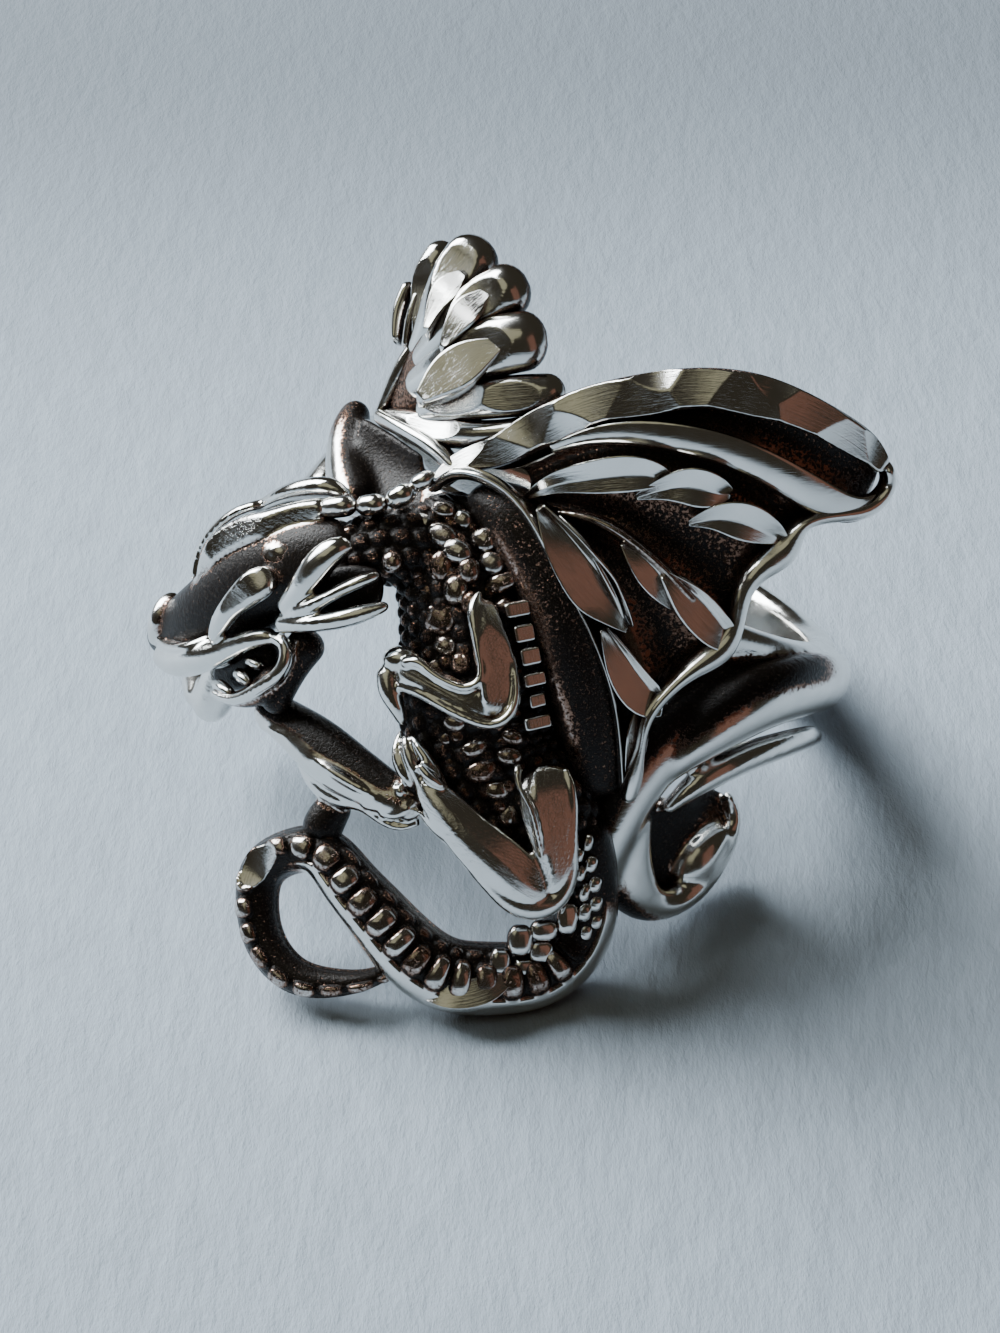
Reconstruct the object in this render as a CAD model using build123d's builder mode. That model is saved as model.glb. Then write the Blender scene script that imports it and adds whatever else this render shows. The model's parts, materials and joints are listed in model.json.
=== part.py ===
from build123d import *
from collections import namedtuple
import math
import os

# Dragon ring: one silver casting, a winged dragon in relief across the front of a finger band.
# Lengths are millimetres. The ring lies in its resting pose, +Z up, with the floor at Z = 0
# and the middle of its outline over the origin. The dragon faces -X and looks out towards -Y.

# Finger band
finger_diameter = 16.6
band_wall = 1.2
band_width = 3.0
band_edge_rounding = 0.5

# Dragon figure. Every table below gives heights as shares of figure_rise, stand-offs from the
# finger bore as shares of figure_relief, and half widths and half depths as shares of figure_girth.
figure_rise = 10.0
figure_relief = 4.6
figure_girth = 2.0

# Raised scales and knuckles
scale_radius = 0.38
knuckle_radius = 0.55
waist_share = 0.72
flank_scale_count = 6
neck_knuckle_count = 5
tail_scale_count = 15

# How much further the left shoulder hangs than the right one
left_shoulder_reach = 1.14

# Resting pose: how the finger axis is turned from upright, in degrees, about X, then Y, then Z
pose_pitch = -26.6
pose_lean = 26.8
pose_heading = -25.1

# A strand is a loft through rounded sections. Turn is in degrees round the finger from the middle
# of the face, positive to the right; the section is wide across the strand and deep away from the finger.
Row = namedtuple("Row", "turn height stand_off half_width half_depth")

TORSO = (
    # turn, height, stand_off, half_width, half_depth
    Row(-7, 0.18, 0.48, 0.54, 0.52),
    Row(1, 0.01, 0.50, 0.78, 0.70),
    Row(9, -0.17, 0.50, 0.86, 0.74),
    Row(17, -0.35, 0.50, 0.86, 0.72),
    Row(27, -0.56, 0.50, 0.82, 0.68),
    Row(38, -0.76, 0.52, 0.70, 0.60),
    Row(46, -0.92, 0.54, 0.46, 0.44),
)
NECK = (
    Row(-22, -0.14, 0.98, 0.62, 0.56),
    Row(-15, -0.07, 0.88, 0.62, 0.58),
    Row(-8, 0.00, 0.76, 0.66, 0.60),
    Row(-1, 0.02, 0.64, 0.68, 0.60),
)
FLANK_ROLL = (
    Row(-5, 0.17, 0.52, 0.34, 0.32),
    Row(5, 0.17, 0.56, 0.48, 0.44),
    Row(15, 0.06, 0.56, 0.56, 0.46),
    Row(24, -0.10, 0.56, 0.58, 0.46),
    Row(32, -0.30, 0.54, 0.52, 0.44),
    Row(40, -0.52, 0.52, 0.38, 0.36),
)
FLANK_RIDGE = (
    Row(-4, 0.24, 0.70, 0.16, 0.20),
    Row(5, 0.27, 0.74, 0.16, 0.20),
    Row(12, 0.18, 0.76, 0.14, 0.20),
    Row(20, 0.03, 0.76, 0.14, 0.20),
    Row(30, -0.14, 0.74, 0.14, 0.20),
    Row(38, -0.32, 0.70, 0.14, 0.20),
    Row(43, -0.50, 0.64, 0.14, 0.20),
)

HEAD_SKULL = (
    Row(-13, -0.12, 0.96, 0.50, 0.46),
    Row(-18, -0.20, 1.04, 0.78, 0.66),
    Row(-23, -0.36, 1.10, 0.84, 0.70),
    Row(-29, -0.53, 1.12, 0.64, 0.58),
    Row(-36, -0.68, 1.12, 0.42, 0.40),
    Row(-40, -0.74, 1.12, 0.24, 0.22),
)
UPPER_JAW = (
    Row(-15, -0.40, 1.02, 0.40, 0.44),
    Row(-22, -0.57, 1.08, 0.36, 0.44),
    Row(-30, -0.71, 1.12, 0.30, 0.40),
    Row(-38, -0.81, 1.12, 0.22, 0.30),
)
LOWER_JAW = (
    Row(-12, -0.46, 0.94, 0.34, 0.36),
    Row(-15, -0.64, 0.98, 0.30, 0.34),
    Row(-19, -0.75, 1.02, 0.24, 0.30),
    Row(-25, -0.79, 1.06, 0.16, 0.24),
)
NEAR_CREST = (
    Row(-17, 0.01, 1.00, 0.18, 0.22),
    Row(-23, -0.07, 1.16, 0.28, 0.30),
    Row(-28, -0.21, 1.27, 0.28, 0.30),
    Row(-30, -0.36, 1.32, 0.24, 0.26),
    Row(-31, -0.48, 1.32, 0.16, 0.20),
)
FAR_CREST = (
    Row(-19, 0.03, 0.98, 0.16, 0.24),
    Row(-26, -0.06, 1.08, 0.24, 0.32),
    Row(-32, -0.20, 1.14, 0.24, 0.32),
    Row(-34, -0.36, 1.16, 0.18, 0.26),
)
BROW = (
    Row(-17, -0.28, 1.30, 0.18, 0.22),
    Row(-20, -0.39, 1.36, 0.28, 0.30),
    Row(-23, -0.51, 1.35, 0.20, 0.24),
    Row(-25, -0.60, 1.30, 0.12, 0.18),
)
CHEEK_SPIKES = (
    (
        Row(-17, -0.44, 1.18, 0.16, 0.22),
        Row(-12, -0.25, 1.26, 0.24, 0.26),
        Row(-10, -0.09, 1.20, 0.08, 0.12),
    ),
    (
        Row(-16, -0.45, 1.16, 0.16, 0.22),
        Row(-8, -0.27, 1.22, 0.21, 0.24),
        Row(-4, -0.13, 1.14, 0.08, 0.12),
    ),
    (
        Row(-15, -0.47, 1.12, 0.14, 0.22),
        Row(-7, -0.33, 1.14, 0.17, 0.22),
        Row(-2, -0.22, 1.06, 0.08, 0.12),
    ),
)
NOSTRIL = (-38, -0.68, 1.22)
nostril_radius = 0.52

# Teeth and claws: turn and height of the root and of the tip, one row each, at one stand-off a group
Point = namedtuple("Point", "root_turn root_height tip_turn tip_height")
TEETH = (
    Point(-22, -0.77, -22, -0.68),
    Point(-20, -0.73, -20, -0.63),
    Point(-18, -0.69, -18, -0.60),
    Point(-27, -0.68, -25, -0.75),
)
HAND_CLAWS = (
    Point(3, -0.36, -1, -0.31),
    Point(3, -0.38, -2, -0.38),
    Point(5, -0.54, 5, -0.64),
)
FOOT_CLAWS = (
    Point(9, -0.54, 6, -0.47),
    Point(8, -0.58, 4, -0.54),
    Point(9, -0.62, 5, -0.62),
)
FAR_FOOT_CLAWS = (
    Point(13, -0.74, 14, -0.67),
    Point(15, -0.76, 19, -0.71),
    Point(15, -0.79, 19, -0.79),
)
tooth_stand_off = 1.07
hand_claw_stand_off = 0.98
foot_claw_stand_off = 0.92
far_claw_stand_off = 0.76
point_root_radius = 0.32
point_tip_radius = 0.11

NEAR_WING_RIBS = (
    (
        Row(-9, 0.18, 0.60, 0.22, 0.30),
        Row(0, 0.34, 0.64, 0.32, 0.34),
        Row(7, 0.55, 0.68, 0.32, 0.34),
        Row(17, 0.74, 0.73, 0.30, 0.32),
        Row(25, 0.83, 0.77, 0.27, 0.30),
        Row(34, 0.88, 0.82, 0.27, 0.30),
        Row(44, 0.88, 0.87, 0.26, 0.28),
        Row(51, 0.85, 0.91, 0.22, 0.26),
        Row(54, 0.79, 0.92, 0.16, 0.22),
    ),
    (
        Row(4, 0.42, 0.62, 0.14, 0.26),
        Row(16, 0.60, 0.70, 0.16, 0.28),
        Row(25, 0.67, 0.75, 0.17, 0.28),
        Row(34, 0.69, 0.80, 0.18, 0.28),
        Row(42, 0.67, 0.84, 0.19, 0.28),
        Row(48, 0.65, 0.87, 0.20, 0.26),
    ),
    (
        Row(4, 0.26, 0.66, 0.10, 0.22),
        Row(13, 0.42, 0.72, 0.24, 0.28),
        Row(22, 0.49, 0.77, 0.25, 0.28),
        Row(31, 0.52, 0.82, 0.25, 0.28),
        Row(39, 0.51, 0.86, 0.22, 0.26),
        Row(46, 0.50, 0.89, 0.18, 0.24),
    ),
    (
        Row(7, 0.27, 0.68, 0.10, 0.22),
        Row(19, 0.29, 0.75, 0.18, 0.28),
        Row(28, 0.22, 0.80, 0.20, 0.28),
        Row(37, 0.17, 0.84, 0.22, 0.28),
        Row(44, 0.16, 0.88, 0.18, 0.24),
    ),
    (
        Row(8, 0.24, 0.68, 0.12, 0.22),
        Row(17, 0.15, 0.72, 0.22, 0.28),
        Row(24, 0.07, 0.75, 0.25, 0.28),
        Row(31, -0.03, 0.78, 0.24, 0.28),
        Row(38, -0.16, 0.80, 0.18, 0.24),
    ),
)
NEAR_WING_PANELS = (
    (
        Row(10, 0.62, 0.54, 0.16, 0.14),
        Row(20, 0.72, 0.58, 0.30, 0.26),
        Row(30, 0.77, 0.62, 0.34, 0.26),
        Row(41, 0.78, 0.68, 0.38, 0.26),
        Row(50, 0.76, 0.74, 0.36, 0.24),
        Row(54, 0.76, 0.78, 0.26, 0.20),
    ),
    (
        Row(2, 0.32, 0.54, 0.20, 0.18),
        Row(16, 0.51, 0.58, 0.36, 0.26),
        Row(26, 0.58, 0.62, 0.40, 0.26),
        Row(36, 0.60, 0.68, 0.42, 0.26),
        Row(46, 0.59, 0.74, 0.38, 0.24),
        Row(49, 0.59, 0.76, 0.34, 0.20),
    ),
    (
        Row(7, 0.29, 0.54, 0.16, 0.14),
        Row(20, 0.38, 0.60, 0.38, 0.28),
        Row(30, 0.37, 0.66, 0.60, 0.28),
        Row(38, 0.35, 0.71, 0.78, 0.26),
        Row(43, 0.34, 0.74, 0.86, 0.24),
        Row(45, 0.33, 0.76, 0.86, 0.20),
    ),
    (
        Row(9, 0.24, 0.54, 0.16, 0.14),
        Row(22, 0.19, 0.60, 0.42, 0.28),
        Row(31, 0.10, 0.66, 0.62, 0.28),
        Row(38, 0.03, 0.70, 0.74, 0.26),
        Row(42, -0.01, 0.72, 0.76, 0.22),
    ),
    (
        Row(16, 0.12, 0.54, 0.20, 0.18),
        Row(24, 0.02, 0.58, 0.34, 0.28),
        Row(31, -0.10, 0.62, 0.40, 0.28),
        Row(37, -0.24, 0.64, 0.36, 0.26),
        Row(41, -0.40, 0.62, 0.28, 0.24),
    ),
)
NEAR_WING_RIM = (
    Row(54, 0.80, 0.90, 0.16, 0.22),
    Row(53, 0.72, 0.88, 0.18, 0.26),
    Row(49, 0.65, 0.86, 0.18, 0.28),
    Row(47, 0.54, 0.85, 0.17, 0.26),
    Row(45, 0.42, 0.84, 0.17, 0.26),
    Row(43, 0.29, 0.83, 0.16, 0.26),
    Row(45, 0.17, 0.83, 0.18, 0.28),
    Row(43, 0.05, 0.82, 0.18, 0.28),
    Row(39, -0.10, 0.80, 0.17, 0.26),
    Row(38, -0.24, 0.78, 0.16, 0.26),
    Row(40, -0.36, 0.76, 0.16, 0.26),
    Row(43, -0.50, 0.70, 0.16, 0.26),
)

FAR_WING_LOBES = (
    (
        Row(-23, 0.34, 0.54, 0.22, 0.30),
        Row(-26, 0.54, 0.50, 0.28, 0.38),
        Row(-29, 0.72, 0.46, 0.32, 0.42),
        Row(-30, 0.82, 0.44, 0.20, 0.28),
    ),
    (
        Row(-20, 0.38, 0.58, 0.24, 0.32),
        Row(-21, 0.58, 0.60, 0.40, 0.44),
        Row(-22, 0.76, 0.58, 0.50, 0.52),
        Row(-21, 0.86, 0.54, 0.44, 0.46),
        Row(-20, 0.92, 0.50, 0.22, 0.24),
    ),
    (
        Row(-19, 0.38, 0.60, 0.24, 0.32),
        Row(-17, 0.60, 0.62, 0.38, 0.44),
        Row(-13, 0.74, 0.60, 0.42, 0.48),
        Row(-10, 0.81, 0.56, 0.38, 0.42),
        Row(-8, 0.84, 0.52, 0.20, 0.22),
    ),
    (
        Row(-18, 0.36, 0.60, 0.24, 0.32),
        Row(-15, 0.51, 0.62, 0.38, 0.44),
        Row(-10, 0.64, 0.61, 0.42, 0.48),
        Row(-5, 0.71, 0.56, 0.38, 0.42),
        Row(-3, 0.73, 0.52, 0.20, 0.22),
    ),
    (
        Row(-19, 0.32, 0.58, 0.26, 0.34),
        Row(-13, 0.42, 0.60, 0.36, 0.42),
        Row(-7, 0.51, 0.58, 0.38, 0.44),
        Row(-1, 0.58, 0.54, 0.32, 0.38),
        Row(2, 0.61, 0.50, 0.18, 0.22),
    ),
    (
        Row(-23, 0.26, 0.54, 0.24, 0.36),
        Row(-17, 0.29, 0.58, 0.30, 0.40),
        Row(-9, 0.36, 0.58, 0.30, 0.38),
        Row(-1, 0.46, 0.56, 0.28, 0.36),
        Row(5, 0.55, 0.54, 0.20, 0.26),
    ),
)
FAR_WING_PALM = (
    Row(-20, 0.26, 0.50, 0.40, 0.34),
    Row(-19, 0.44, 0.50, 0.80, 0.36),
    Row(-16, 0.62, 0.48, 1.00, 0.34),
    Row(-15, 0.74, 0.46, 0.80, 0.28),
)
FAR_WING_EDGE_RIDGES = (
    (
        Row(-22, 0.36, 0.50, 0.18, 0.30),
        Row(-31, 0.56, 0.42, 0.20, 0.36),
        Row(-35, 0.70, 0.36, 0.14, 0.24),
    ),
    (
        Row(-22, 0.28, 0.50, 0.18, 0.30),
        Row(-32, 0.46, 0.42, 0.24, 0.38),
        Row(-39, 0.62, 0.32, 0.14, 0.26),
    ),
)
WING_YOKE = (
    Row(-24, 0.24, 0.52, 0.24, 0.36),
    Row(-16, 0.18, 0.58, 0.26, 0.38),
    Row(-8, 0.16, 0.60, 0.28, 0.40),
    Row(0, 0.18, 0.60, 0.26, 0.38),
)

ARM = (
    Row(8, -0.03, 0.92, 0.28, 0.28),
    Row(13, -0.15, 1.00, 0.34, 0.34),
    Row(19, -0.27, 1.04, 0.34, 0.34),
)
FOREARM = (
    Row(20, -0.31, 1.04, 0.28, 0.30),
    Row(15, -0.37, 1.06, 0.26, 0.28),
    Row(8, -0.37, 1.06, 0.26, 0.28),
    Row(2, -0.36, 1.02, 0.26, 0.28),
)
HAND = (
    Row(2, -0.33, 0.98, 0.28, 0.30),
    Row(2, -0.42, 0.96, 0.24, 0.26),
    Row(5, -0.52, 0.94, 0.18, 0.22),
    Row(8, -0.59, 0.92, 0.14, 0.18),
)
THIGH = (
    Row(29, -0.45, 0.84, 0.32, 0.34),
    Row(32, -0.60, 0.94, 0.38, 0.40),
    Row(35, -0.76, 0.98, 0.38, 0.40),
    Row(36, -0.86, 0.96, 0.28, 0.30),
)
SHIN = (
    Row(36, -0.84, 0.96, 0.30, 0.32),
    Row(28, -0.80, 1.00, 0.32, 0.34),
    Row(18, -0.70, 1.00, 0.28, 0.30),
    Row(10, -0.59, 0.96, 0.28, 0.30),
    Row(7, -0.52, 0.92, 0.20, 0.22),
)
HIND_STRUT = (
    Row(-54, -0.96, 0.52, 0.28, 0.32),
    Row(-42, -0.98, 0.62, 0.26, 0.30),
    Row(-30, -0.88, 0.72, 0.26, 0.28),
    Row(-18, -0.76, 0.80, 0.28, 0.30),
    Row(-8, -0.77, 0.76, 0.32, 0.34),
    Row(2, -0.79, 0.72, 0.34, 0.36),
    Row(12, -0.78, 0.74, 0.36, 0.38),
    Row(18, -0.74, 0.76, 0.26, 0.28),
)
TAIL_LINK = (
    Row(-1, -0.78, 0.72, 0.24, 0.26),
    Row(-1, -0.92, 0.70, 0.20, 0.24),
    Row(0, -1.08, 0.70, 0.26, 0.30),
)
TAIL = (
    Row(40, -0.72, 0.60, 0.52, 0.50),
    Row(43, -0.86, 0.60, 0.60, 0.56),
    Row(43, -1.00, 0.62, 0.62, 0.58),
    Row(39, -1.14, 0.64, 0.64, 0.58),
    Row(32, -1.24, 0.66, 0.64, 0.56),
    Row(24, -1.25, 0.66, 0.60, 0.54),
    Row(16, -1.19, 0.66, 0.56, 0.52),
    Row(8, -1.12, 0.66, 0.50, 0.48),
    Row(0, -1.12, 0.67, 0.44, 0.42),
    Row(-5, -1.25, 0.67, 0.42, 0.40),
    Row(-4, -1.41, 0.66, 0.40, 0.38),
    Row(1, -1.51, 0.66, 0.38, 0.36),
    Row(10, -1.51, 0.66, 0.34, 0.32),
    Row(19, -1.42, 0.66, 0.22, 0.20),
)

SHOULDER_SWEEP = (
    Row(49, -0.90, 0.44, 0.34, 0.32),
    Row(46, -0.66, 0.46, 0.48, 0.42),
    Row(46, -0.44, 0.44, 0.56, 0.42),
    Row(52, -0.22, 0.37, 0.60, 0.40),
    Row(62, -0.08, 0.26, 0.64, 0.34),
    Row(76, -0.01, 0.17, 0.66, 0.29),
    Row(96, 0.00, 0.15, 0.56, 0.27),
)
SHOULDER_EDGE = (
    Row(52, -0.60, 0.52, 0.16, 0.26),
    Row(54, -0.47, 0.52, 0.21, 0.30),
    Row(60, -0.34, 0.44, 0.25, 0.30),
    Row(70, -0.23, 0.30, 0.26, 0.30),
    Row(84, -0.13, 0.18, 0.26, 0.28),
    Row(98, -0.06, 0.15, 0.24, 0.25),
)
SHOULDER_SCROLL = (
    Row(48, -0.84, 0.48, 0.30, 0.34),
    Row(55, -0.83, 0.52, 0.28, 0.34),
    Row(63, -0.76, 0.52, 0.28, 0.34),
    Row(69, -0.63, 0.50, 0.29, 0.34),
    Row(69, -0.48, 0.46, 0.26, 0.32),
    Row(64, -0.36, 0.42, 0.22, 0.30),
)
SCROLL_BULB = (
    Row(52, -0.70, 0.44, 0.24, 0.22),
    Row(57, -0.66, 0.48, 0.38, 0.34),
    Row(63, -0.58, 0.46, 0.34, 0.32),
    Row(66, -0.48, 0.42, 0.20, 0.18),
)

# Ends of the row of knuckles on the neck and of the scales down the flank: turn, height, stand_off
NECK_KNUCKLES = ((-20, 0.02, 1.00), (-3, 0.18, 0.74))
FLANK_SCALES = ((11, -0.01, 0.78), (27, -0.42, 0.77))
# Tail scales ride on the upper side: first and last row of TAIL, and shares of the section's half sizes
TAIL_SCALE_ROWS = (2, 9)
tail_scale_side = 0.60
tail_scale_lift = 0.66

# An oval section is drawn as four quarter arcs, in degrees
QUARTER_TURN = 90
QUARTER_STARTS = (0, 90, 180, 270)

# The finger's own frame: the band's axis is its Z and the face looks along its -Y
finger = Plane.XY.rotated((pose_pitch, pose_lean, pose_heading))
bore_radius = finger_diameter / 2
outer_radius = bore_radius + band_wall


def on_finger(turn, height, stand_off):
    """Place round the finger: turn in degrees, height and stand-off as shares of the figure's sizes."""
    radius = bore_radius + stand_off * figure_relief
    angle = math.radians(turn)
    local = Vector(radius * math.sin(angle), -radius * math.cos(angle), height * figure_rise)
    return finger.from_local_coords(local)


def place(row):
    """The place of one row's section centre."""
    return on_finger(row.turn, row.height, row.stand_off)


def section_planes(places):
    """Planes square to the run through some places, X across the run and Y towards the finger."""
    planes = []
    for index, spot in enumerate(places):
        run = places[min(index + 1, len(places) - 1)] - places[max(index - 1, 0)]
        local = finger.to_local_coords(spot)
        outward = finger.from_local_coords(Vector(local.X, local.Y, 0)) - finger.origin
        planes.append(Plane(origin=spot, x_dir=run.cross(outward), z_dir=run))
    return planes


def tube(places, half_widths, half_depths):
    """Loft an oval section of four quarter arcs at each place into the current part."""
    faces = []
    for plane, half_width, half_depth in zip(section_planes(places), half_widths, half_depths):
        with BuildSketch(plane) as section:
            with BuildLine():
                for start in QUARTER_STARTS:
                    EllipticalCenterArc((0, 0), half_width, half_depth, start, arc_size=QUARTER_TURN)
            make_face()
        faces.append(section.sketch.face())
    loft(sections=faces)


def strand(rows):
    """Loft one strand through its rows."""
    tube(
        [place(row) for row in rows],
        [row.half_width * figure_girth for row in rows],
        [row.half_depth * figure_girth for row in rows],
    )


def mirrored(rows):
    """The same strand on the left, hanging further, run the other way to keep its seam's side."""
    return tuple(
        row._replace(turn=-row.turn, height=row.height * left_shoulder_reach) for row in reversed(rows)
    )


def beaded(path, count, radius):
    """Loft a row of round beads, narrowed between neighbours, along a path of places."""
    stations = 2 * count - 1
    places = []
    for station in range(stations):
        reach = (len(path) - 1) * station / (stations - 1)
        leg = min(int(reach), len(path) - 2)
        places.append(path[leg] + (path[leg + 1] - path[leg]) * (reach - leg))
    sizes = [radius * (waist_share if station % 2 else 1) for station in range(stations)]
    tube(places, sizes, sizes)


def tail_scale_path():
    """Places on the tail's upper side, one for each of its rows from the hip to the loop."""
    first, last = TAIL_SCALE_ROWS
    planes = section_planes([place(row) for row in TAIL])
    path = []
    for row, plane in zip(TAIL[first:last], planes[first:last]):
        side = tail_scale_side * row.half_width * figure_girth
        lift = tail_scale_lift * row.half_depth * figure_girth
        path.append(plane.from_local_coords(Vector(side, -lift)))
    return path


def points(table, stand_off):
    """Loft each tooth or claw of a table into the current part, from its root to its tip."""
    for point in table:
        root = on_finger(point.root_turn, point.root_height, stand_off)
        tip = on_finger(point.tip_turn, point.tip_height, stand_off)
        with BuildSketch(Plane(origin=root, z_dir=tip - root)) as root_section:
            Circle(point_root_radius)
        with BuildSketch(Plane(origin=tip, z_dir=tip - root)) as tip_section:
            Circle(point_tip_radius)
        loft(sections=[root_section.sketch.face(), tip_section.sketch.face()])


# Band: a rounded profile turned round the finger axis
band_profile_plane = Plane(origin=finger.origin, x_dir=finger.x_dir, z_dir=-finger.y_dir)
with BuildPart() as band:
    with BuildSketch(band_profile_plane) as band_profile:
        with Locations(((bore_radius + outer_radius) / 2, 0)):
            RectangleRounded(band_wall, band_width, band_edge_rounding)
    revolve(axis=Axis(finger.origin, finger.z_dir))

# Shoulders: the sweep, its thin lower edge and the scroll with its bulb, on both sides
with BuildPart() as shoulders:
    for rows in (SHOULDER_SWEEP, SHOULDER_EDGE, SHOULDER_SCROLL, SCROLL_BULB):
        strand(rows)
        strand(mirrored(rows))

# Body: torso, neck and the roll of the flank behind its ridge
with BuildPart() as body:
    for rows in (TORSO, NECK, FLANK_ROLL, FLANK_RIDGE):
        strand(rows)
    beaded([on_finger(*spot) for spot in FLANK_SCALES], flank_scale_count, scale_radius)
    beaded([on_finger(*spot) for spot in NECK_KNUCKLES], neck_knuckle_count, knuckle_radius)

# Head: skull, jaws, two crests, brow, nostril, cheek spikes and teeth
with BuildPart() as head:
    for rows in (HEAD_SKULL, UPPER_JAW, LOWER_JAW, NEAR_CREST, FAR_CREST, BROW) + CHEEK_SPIKES:
        strand(rows)
    with Locations(on_finger(*NOSTRIL)):
        Sphere(nostril_radius)
    points(TEETH, tooth_stand_off)

# Near wing: ribs, the thinner panels between them and the scalloped rim
with BuildPart() as near_wing:
    for rows in NEAR_WING_PANELS + NEAR_WING_RIBS + (NEAR_WING_RIM,):
        strand(rows)

# Far wing: a fan of rounded lobes on its palm, two edge ridges behind and the yoke that joins both wings
with BuildPart() as far_wing:
    for rows in FAR_WING_LOBES + FAR_WING_EDGE_RIDGES + (FAR_WING_PALM, WING_YOKE):
        strand(rows)

# Limbs: arm and hand, bent leg, and the far hind strut from shoulder scroll to foot
with BuildPart() as limbs:
    for rows in (ARM, FOREARM, HAND, THIGH, SHIN, HIND_STRUT, TAIL_LINK):
        strand(rows)
    points(HAND_CLAWS, hand_claw_stand_off)
    points(FOOT_CLAWS, foot_claw_stand_off)
    points(FAR_FOOT_CLAWS, far_claw_stand_off)

# Tail: one long strand that drops from the hip, turns back and curls round to an open tip
with BuildPart() as tail:
    strand(TAIL)
    beaded(tail_scale_path(), tail_scale_count, scale_radius)

# The casting: every form run together in one solid, set down on the floor over the origin
with BuildPart() as figure:
    add([band.part, shoulders.part, body.part, head.part])
    add([near_wing.part, far_wing.part, limbs.part, tail.part])
reach = figure.part.bounding_box()
set_down = Location((-reach.center().X, -reach.center().Y, -reach.min.Z))
with BuildPart() as ring_casting:
    add(figure.part.moved(set_down))
ring_casting.part.label = "ring_casting"

os.makedirs("parts", exist_ok=True)
export_step(ring_casting.part, "parts/ring_casting.step")
bore_centre = set_down * Location(finger.origin)
print("volume", round(ring_casting.part.volume, 1), "solids", len(ring_casting.part.solids()))
print("size", reach.size)
print("bore centre", bore_centre.position, "axis", finger.z_dir)
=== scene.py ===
import json
import math
from collections import namedtuple

import bpy
import numpy as np
from bpy.props import FloatProperty, FloatVectorProperty, PointerProperty
from mathutils import Matrix, Vector


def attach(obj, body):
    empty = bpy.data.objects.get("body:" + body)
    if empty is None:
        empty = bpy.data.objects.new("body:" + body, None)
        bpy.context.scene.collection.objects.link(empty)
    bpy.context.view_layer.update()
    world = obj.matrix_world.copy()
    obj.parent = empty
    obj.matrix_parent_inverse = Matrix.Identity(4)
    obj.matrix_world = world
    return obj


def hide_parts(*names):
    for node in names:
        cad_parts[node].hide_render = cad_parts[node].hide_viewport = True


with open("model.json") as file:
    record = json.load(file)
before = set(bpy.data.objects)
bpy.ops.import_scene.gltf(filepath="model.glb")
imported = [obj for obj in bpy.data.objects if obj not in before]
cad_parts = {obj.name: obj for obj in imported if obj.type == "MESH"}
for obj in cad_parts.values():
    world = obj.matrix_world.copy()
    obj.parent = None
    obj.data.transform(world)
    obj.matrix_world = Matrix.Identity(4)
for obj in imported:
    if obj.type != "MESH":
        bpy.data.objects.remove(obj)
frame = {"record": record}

bl_info = {
    "name": "Dragon Ring",
    "version": (1, 0, 0),
    "blender": (4, 5, 0),
    "location": "View3D > Sidebar > Dragon Ring",
    "description": "Dresses a cast silver dragon ring over its packed frame",
    "category": "Object",
}

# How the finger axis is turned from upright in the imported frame, in degrees about X, then Y, then Z
POSE = (-26.6, 26.8, -25.1)
BORE = next(mount for mount in frame["record"]["mounts"] if mount["name"] == "finger_bore")

# The drawing of the ring's face: x to the right and y down, 28 units to the millimetre at the finger
# axis. It is seen from a viewpoint turned and raised from the face, and tipped about the line of sight.
VIEW_TURN = 20.0
VIEW_RISE = 10.0
VIEW_TIP = 26.0
VIEW_DISTANCE = 110.0
DRAWING_FOCUS = 3080.0
DRAWING_CENTRE = (500.0, 666.5)
AXIS_ON_DRAWING = (583.0, 566.0)
UNITS = DRAWING_FOCUS / VIEW_DISTANCE


def view_axes():
    """Right, up and towards the viewer, in the finger's frame, by turning and tipping the line of sight."""
    turn, rise, tip = (math.radians(angle) for angle in (VIEW_TURN, VIEW_RISE, VIEW_TIP))
    towards = np.array(
        [math.sin(turn) * math.cos(rise), -math.cos(turn) * math.cos(rise), math.sin(rise)]
    )
    level = np.array([math.cos(turn), math.sin(turn), 0.0])
    steep = np.cross(towards, level)
    right = level * math.cos(tip) + steep * math.sin(tip)
    up = steep * math.cos(tip) - level * math.sin(tip)
    return right, up, towards


RIGHT, UP, TOWARDS = view_axes()
VIEWPOINT = (
    TOWARDS * VIEW_DISTANCE
    - RIGHT * (AXIS_ON_DRAWING[0] - DRAWING_CENTRE[0]) / UNITS
    + UP * (AXIS_ON_DRAWING[1] - DRAWING_CENTRE[1]) / UNITS
)


def turned(angles):
    """The 3 by 3 matrix that turns by degrees about X, then Y, then Z, each about its own new axis."""
    x, y, z = (math.radians(angle) for angle in angles)
    return np.array(Matrix.Rotation(x, 3, "X") @ Matrix.Rotation(y, 3, "Y") @ Matrix.Rotation(z, 3, "Z"))


FINGER = turned(POSE)


def to_frame(places):
    """Places in the finger's frame in millimetres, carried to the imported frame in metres."""
    return np.asarray(places) @ FINGER.T * 0.001 + np.array(BORE["pos_m"])


# Shapes


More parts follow.
